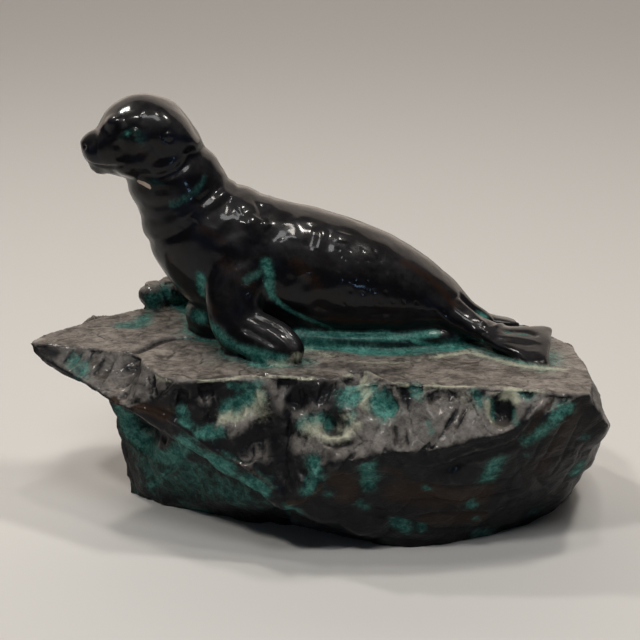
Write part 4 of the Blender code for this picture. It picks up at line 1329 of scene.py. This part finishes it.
def add_muzzle(bm):
    """Round the end of the muzzle, in the direction of the turned head."""
    first = len(bm.verts)
    add_round(bm, MUZZLE)
    add_round(bm, MUZZLE_SIDE)
    add_round(bm, MUZZLE_SIDE, -1)
    turn_head(bm, first)


def build_casting():
    """The whole casting as one mesh, with its modelled detail and the shader's cover values."""
    seal_skin = seal_forms()
    add_muzzle(seal_skin)
    seal_tree = BVHTree.FromBMesh(seal_skin)
    whole = rock_forms()
    copy_into(whole, seal_skin)
    mesh = skin(whole)
    drop_crumbs(mesh)
    surface = Surface(mesh)
    gap = distance_to_seal(surface, seal_tree)
    seal = surface.softened(1 - rise(gap, *SEAL_EDGE), SEAL_EDGE_PASSES)
    soften_skin(surface, seal)
    roll_seal(surface, seal)
    break_rock(surface, rise(gap, *ROCK_EDGE))
    sharpen(surface, (1 - seal) * EDGE_SHARE)
    tree = surface.tree()
    press_strokes(surface, tree, ROCK_STROKES)
    press_strokes(surface, tree, RIM_STROKES)
    layers = [(path, LAYER_RADIUS, LAYER_DEPTH) for path in LAYER_PATHS]
    press_strokes(surface, tree, layers)
    press_strokes(surface, tree, BODY_STROKES, 0)
    press_strokes(surface, tree, FAN_STROKES)
    press_strokes(surface, tree, HEAD_STROKES, HEAD_TURN)
    press_head_beads(surface, tree)
    press_dashes(surface, tree)
    cover = glaze_cover(surface, tree, seal, gap)
    mesh = thin_out(mesh, seal)
    cut_flat(mesh)
    carry_over(surface, cover, mesh)
    mesh.transform(Matrix.Translation((-BOX_MIDDLE[0], -BOX_MIDDLE[1], 0)))
    mesh.shade_smooth()
    mesh.name = "glazed_seal_on_rock"
    return bpy.data.objects.new("glazed_seal_on_rock", mesh)


class Nodes:
    """Short ways to add nodes to a material."""

    def __init__(self, name):
        self.material = bpy.data.materials.new(name)
        self.material.use_nodes = True
        self.tree = self.material.node_tree
        self.shader = self.tree.nodes["Principled BSDF"]
        self.place = self.tree.nodes.new("ShaderNodeTexCoord").outputs["Object"]

    def put(self, socket, value):
        """Link a socket to a node's output, or set it."""
        if isinstance(value, bpy.types.NodeSocket):
            self.tree.links.new(value, socket)
        else:
            socket.default_value = value

    def attribute(self, name):
        """The value that the mesh carries under this name."""
        node = self.tree.nodes.new("ShaderNodeAttribute")
        node.attribute_name = name
        return node.outputs["Fac"]

    def noise(self, size, detail=3.0, roughness=0.55, stretch=(1, 1, 1), warp=0.0):
        """Noise with spots about this size in metres, from 0 to 1."""
        mapping = self.tree.nodes.new("ShaderNodeMapping")
        mapping.inputs["Scale"].default_value = stretch
        self.put(mapping.inputs["Vector"], self.place)
        node = self.tree.nodes.new("ShaderNodeTexNoise")
        node.inputs["Scale"].default_value = 1 / size
        node.inputs["Detail"].default_value = detail
        node.inputs["Roughness"].default_value = roughness
        node.inputs["Distortion"].default_value = warp
        self.put(node.inputs["Vector"], mapping.outputs["Vector"])
        return node.outputs["Fac"]

    def math(self, operation, first, second):
        """One arithmetic step, kept between 0 and 1."""
        node = self.tree.nodes.new("ShaderNodeMath")
        node.operation = operation
        node.use_clamp = True
        self.put(node.inputs[0], first)
        self.put(node.inputs[1], second)
        return node.outputs["Value"]

    def blend(self, *parts):
        """The sum of values times their weights. A name stands for the mesh's value of that name."""
        total = None
        for value, weight in parts:
            value = self.attribute(value) if isinstance(value, str) else value
            node = self.tree.nodes.new("ShaderNodeMath")
            node.operation = 'MULTIPLY_ADD'
            self.put(node.inputs[0], value)
            node.inputs[1].default_value = weight
            self.put(node.inputs[2], 0.0 if total is None else total)
            total = node.outputs["Value"]
        return total

    def ramp(self, value, low, high, start=0.0, stop=1.0):
        """From start at low to stop at high, smoothly."""
        node = self.tree.nodes.new("ShaderNodeMapRange")
        node.interpolation_type = 'SMOOTHSTEP'
        self.put(node.inputs["Value"], value)
        node.inputs["From Min"].default_value = low
        node.inputs["From Max"].default_value = high
        node.inputs["To Min"].default_value = start
        node.inputs["To Max"].default_value = stop
        return node.outputs["Result"]

    def mix(self, share, first, second):
        """Blend two colours."""
        node = self.tree.nodes.new("ShaderNodeMix")
        node.data_type = 'RGBA'
        self.put(node.inputs[0], share)
        self.put(node.inputs[6], (*first, 1) if isinstance(first, tuple) else first)
        self.put(node.inputs[7], (*second, 1) if isinstance(second, tuple) else second)
        return node.outputs[2]

    def bump(self, height, distance, normal=None):
        """Bumps from a height, this deep in metres."""
        node = self.tree.nodes.new("ShaderNodeBump")
        node.inputs["Strength"].default_value = 1.0
        node.inputs["Distance"].default_value = distance
        self.put(node.inputs["Height"], height)
        if normal is not None:
            self.put(node.inputs["Normal"], normal)
        return node.outputs["Normal"]


def glaze():
    """Near-black glaze, shiny on the seal and duller on the rock, with teal and cream where it pooled.

    Each colour is laid where its blend of mesh values and random patterns is high enough.
    Some colours are painted light and shade: sheen on upward faces, shade in hollows and recesses, brown
    reflections, and glints along the rim.
    """
    n = Nodes("dark_glaze")
    seal = n.attribute("seal")
    rock = n.math('SUBTRACT', 1.0, seal)
    flat_top = n.attribute("flat_top")
    hollow = n.attribute("hollow")
    crest = n.attribute("crest")
    clouds = n.noise(CLOUD_SIZE, 6.0, 0.62, warp=0.5)
    mottle = n.noise(MOTTLE_SIZE, 5.0, 0.65, warp=0.3)
    specks = n.noise(SPECK_SIZE, 4.0, 0.7)
    streaks = n.noise(STREAK_SIZE, 5.0, 0.62, stretch=STREAK_STRETCH, warp=1.0)

    colour = n.mix(n.ramp(clouds, 0.42, 0.66), GLAZE_BLACK, GLAZE_BLUE_BLACK)
    # Painted sheen: a lighter grey on the seal's upward faces, in random clouds.
    painted_sheen = n.blend(("upward", 0.8), (clouds, 0.9), (mottle, 0.6))
    colour = n.mix(n.ramp(painted_sheen, 1.25, 2.0), colour, PAINTED_SHEEN)
    # Painted light on the rock: upward faces grey as if lit, downward faces and hollows left dark as
    # painted shade, in random patches.
    light = n.blend(("upward", 0.7), (clouds, 1.1), (mottle, 1.0), (specks, 0.4), ("hollow", -0.35))
    light = n.math('MULTIPLY', n.ramp(light, 1.45, 2.25), rock)
    colour = n.mix(rock, colour, ROCK_BLACK)
    colour = n.mix(light, colour, LIT_ROCK_GREY)
    # Flat top: grey-brown that is partly painted sheen of reflected light, mottled at random, and darker
    # in hollows as painted shade.
    flat_top_patches = n.blend((streaks, 1.1), (mottle, 0.7), (specks, 0.5), (clouds, 1.1), ("hollow", -0.4))
    colour = n.mix(flat_top, colour, n.mix(n.ramp(flat_top_patches, 1.35, 2.1), FLAT_TOP_DARK, FLAT_TOP_SHEEN_GREY))

    # Painted shade: black in recesses, pockets and under the slab, with some black patches.
    dark = n.blend(("dark", 1.0), (mottle, 0.8), (specks, 0.3))
    colour = n.mix(n.ramp(dark, 0.65, 1.5), colour, ROCK_BLACK)
    # Painted reflection: warm brown on the seal and on the rock's underside and lower faces.
    brown = n.blend(("brown", 1.0), (streaks, 0.8), (specks, 0.2))
    colour = n.mix(n.ramp(brown, 0.7, 1.35), colour, BROWN_REFLECTION)

    teal = n.blend(("teal", 1.0), (clouds, 0.6), (mottle, 0.5), (specks, 0.3), ("crest", -0.15))
    teal = n.math('MULTIPLY', n.ramp(teal, 0.78, 1.55), rock)
    smooth_teal = n.ramp(n.blend(("teal", 1.2), (clouds, 0.5), (specks, 0.2)), 0.5, 1.45)
    teal = n.math('ADD', teal, n.math('MULTIPLY', smooth_teal, seal))
    teal_tone = n.mix(n.ramp(n.blend((mottle, 0.6), (specks, 0.6)), 0.45, 0.8), GLAZE_TEAL, GLAZE_PALE_TEAL)
    colour = n.mix(teal, colour, teal_tone)
    # Cream glaze, and painted glints along the front edge of the top.
    cream = n.blend(("cream", 1.0), (mottle, 0.5), (specks, 0.7), ("crest", 0.1))
    colour = n.mix(n.ramp(cream, 0.72, 1.6, 0.0, 0.95), colour, CREAM_GLAZE_AND_GLINT)
    colour = n.mix(n.ramp(n.attribute("bare"), 0.45, 0.6), colour, BARE_CLAY)
    n.put(n.shader.inputs["Base Color"], colour)

    rough = n.ramp(seal, *BORDER, ROCK_ROUGHNESS, SEAL_ROUGHNESS)
    rough = n.math('ADD', rough, n.ramp(n.noise(SHEEN_SIZE, 3.0, 0.5), 0.4, 0.7, 0.0, 0.14))
    n.put(n.shader.inputs["Roughness"], rough)
    n.put(n.shader.inputs["IOR"], n.ramp(seal, *BORDER, ROCK_IOR, SEAL_IOR))
    coat = n.ramp(seal, *BORDER, ROCK_COAT, SEAL_COAT)
    wet = n.math('MULTIPLY', n.math('MULTIPLY', rock, crest), n.ramp(mottle, 0.45, 0.6, 0.0, 0.6))
    coat = n.math('MULTIPLY', n.math('ADD', coat, wet), n.ramp(teal, 0.0, 0.6, 1.0, 0.15))
    n.put(n.shader.inputs["Coat Weight"], coat)
    n.shader.inputs["Coat IOR"].default_value = COAT_IOR
    n.shader.inputs["Coat Roughness"].default_value = COAT_ROUGHNESS

    grain = n.noise(GRAIN_SIZE, 5.0, 0.7)
    lumps = n.noise(LUMPS_SIZE, 4.0, 0.6)
    rough_skin = n.math('MULTIPLY', rock, n.blend((grain, 0.3), (lumps, 0.7)))
    ripples = n.math('MULTIPLY', seal, n.blend((n.noise(RIPPLE_SIZE, 2.0, 0.5), 0.8), (specks, 0.14)))
    n.put(n.shader.inputs["Normal"], n.bump(ripples, SEAL_BUMP, n.bump(rough_skin, ROCK_BUMP)))
    return n.material


def plain(name, colour, glow=0.0):
    """A plain material for the floor and the wall, which may shine as a large soft light does."""
    n = Nodes(name)
    n.shader.inputs["Base Color"].default_value = (*colour, 1)
    n.shader.inputs["Roughness"].default_value = STAGE_ROUGHNESS
    n.shader.inputs["Emission Color"].default_value = (*colour, 1)
    n.shader.inputs["Emission Strength"].default_value = glow
    return n.material


def add_flat(name, corners, material):
    """A flat four-cornered sheet of the stage."""
    mesh = bpy.data.meshes.new(name)
    mesh.from_pydata(corners, [], [(0, 1, 2, 3)])
    mesh.materials.append(material)
    item = bpy.data.objects.new(name, mesh)
    bpy.context.scene.collection.objects.link(item)


def add_stage():
    """Pale floor all round, and a pale wall of soft light far behind."""
    floor = [(-FLOOR_REACH, -FLOOR_REACH, 0), (FLOOR_REACH, -FLOOR_REACH, 0),
             (FLOOR_REACH, FLOOR_REACH, 0), (-FLOOR_REACH, FLOOR_REACH, 0)]
    add_flat("floor", floor, plain("pale_floor", FLOOR_COLOUR))
    wall = [(-WALL_HALF, WALL_PLACE, 0), (WALL_HALF, WALL_PLACE, 0),
            (WALL_HALF, WALL_PLACE, WALL_HEIGHT), (-WALL_HALF, WALL_PLACE, WALL_HEIGHT)]
    add_flat("wall", wall, plain("pale_wall", WALL_COLOUR, WALL_GLOW))


def direction(azimuth, elevation):
    """The way from the figurine to a light. Azimuth 0 is behind it and 90 to its right."""
    turn = math.radians(azimuth)
    lift = math.radians(elevation)
    return Vector((math.sin(turn) * math.cos(lift), math.cos(turn) * math.cos(lift), math.sin(lift)))


def add_lamp(name, azimuth, elevation, distance, size, brightness, colour):
    """A round lamp that points at the figurine. Its power is its brightness times its area and pi."""
    way = direction(azimuth, elevation)
    lamp = bpy.data.lights.new(name, 'AREA')
    lamp.shape = 'DISK'
    lamp.size = size
    lamp.energy = brightness * math.pi * math.pi * size * size / 4
    lamp.color = colour
    item = bpy.data.objects.new(name, lamp)
    item.location = Vector(CAMERA_TARGET) + way * distance
    item.rotation_euler = way.to_track_quat('Z', 'Y').to_euler()
    bpy.context.scene.collection.objects.link(item)


def add_sun():
    """An even, soft light over the floor, the wall and the figurine."""
    sun = bpy.data.lights.new("sun", 'SUN')
    sun.energy = SUN_STRENGTH
    sun.angle = math.radians(SUN_SIZE)
    item = bpy.data.objects.new("sun", sun)
    item.rotation_euler = direction(SUN_AZIMUTH, SUN_ELEVATION).to_track_quat('Z', 'Y').to_euler()
    bpy.context.scene.collection.objects.link(item)


def add_world():
    """A dim, even room light."""
    world = bpy.data.worlds.new("room")
    world.use_nodes = True
    world.node_tree.nodes["Background"].inputs["Color"].default_value = (*WORLD_COLOUR, 1)
    world.node_tree.nodes["Background"].inputs["Strength"].default_value = WORLD_STRENGTH
    bpy.context.scene.world = world


def add_camera():
    """The photograph's view."""
    ahead, up = camera_axes()
    camera = bpy.data.cameras.new("camera")
    camera.lens = CAMERA_LENS
    camera.sensor_width = SENSOR
    item = bpy.data.objects.new("camera", camera)
    item.location = Vector(CAMERA_TARGET) - ahead * CAMERA_DISTANCE
    item.rotation_euler = (-ahead).to_track_quat('Z', 'Y').to_euler()
    bpy.context.scene.collection.objects.link(item)
    bpy.context.scene.camera = item


def main():
    """Dress the figurine, and set the stage, the lights and the camera."""
    bpy.context.scene.view_settings.view_transform = 'Standard'
    casting = build_casting()
    casting.data.materials.append(glaze())
    bpy.context.scene.collection.objects.link(casting)
    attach(casting, "root")
    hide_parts("seal_on_rock")
    add_stage()
    add_world()
    add_sun()
    for lamp in LAMPS:
        add_lamp(*lamp)
    add_camera()


main()
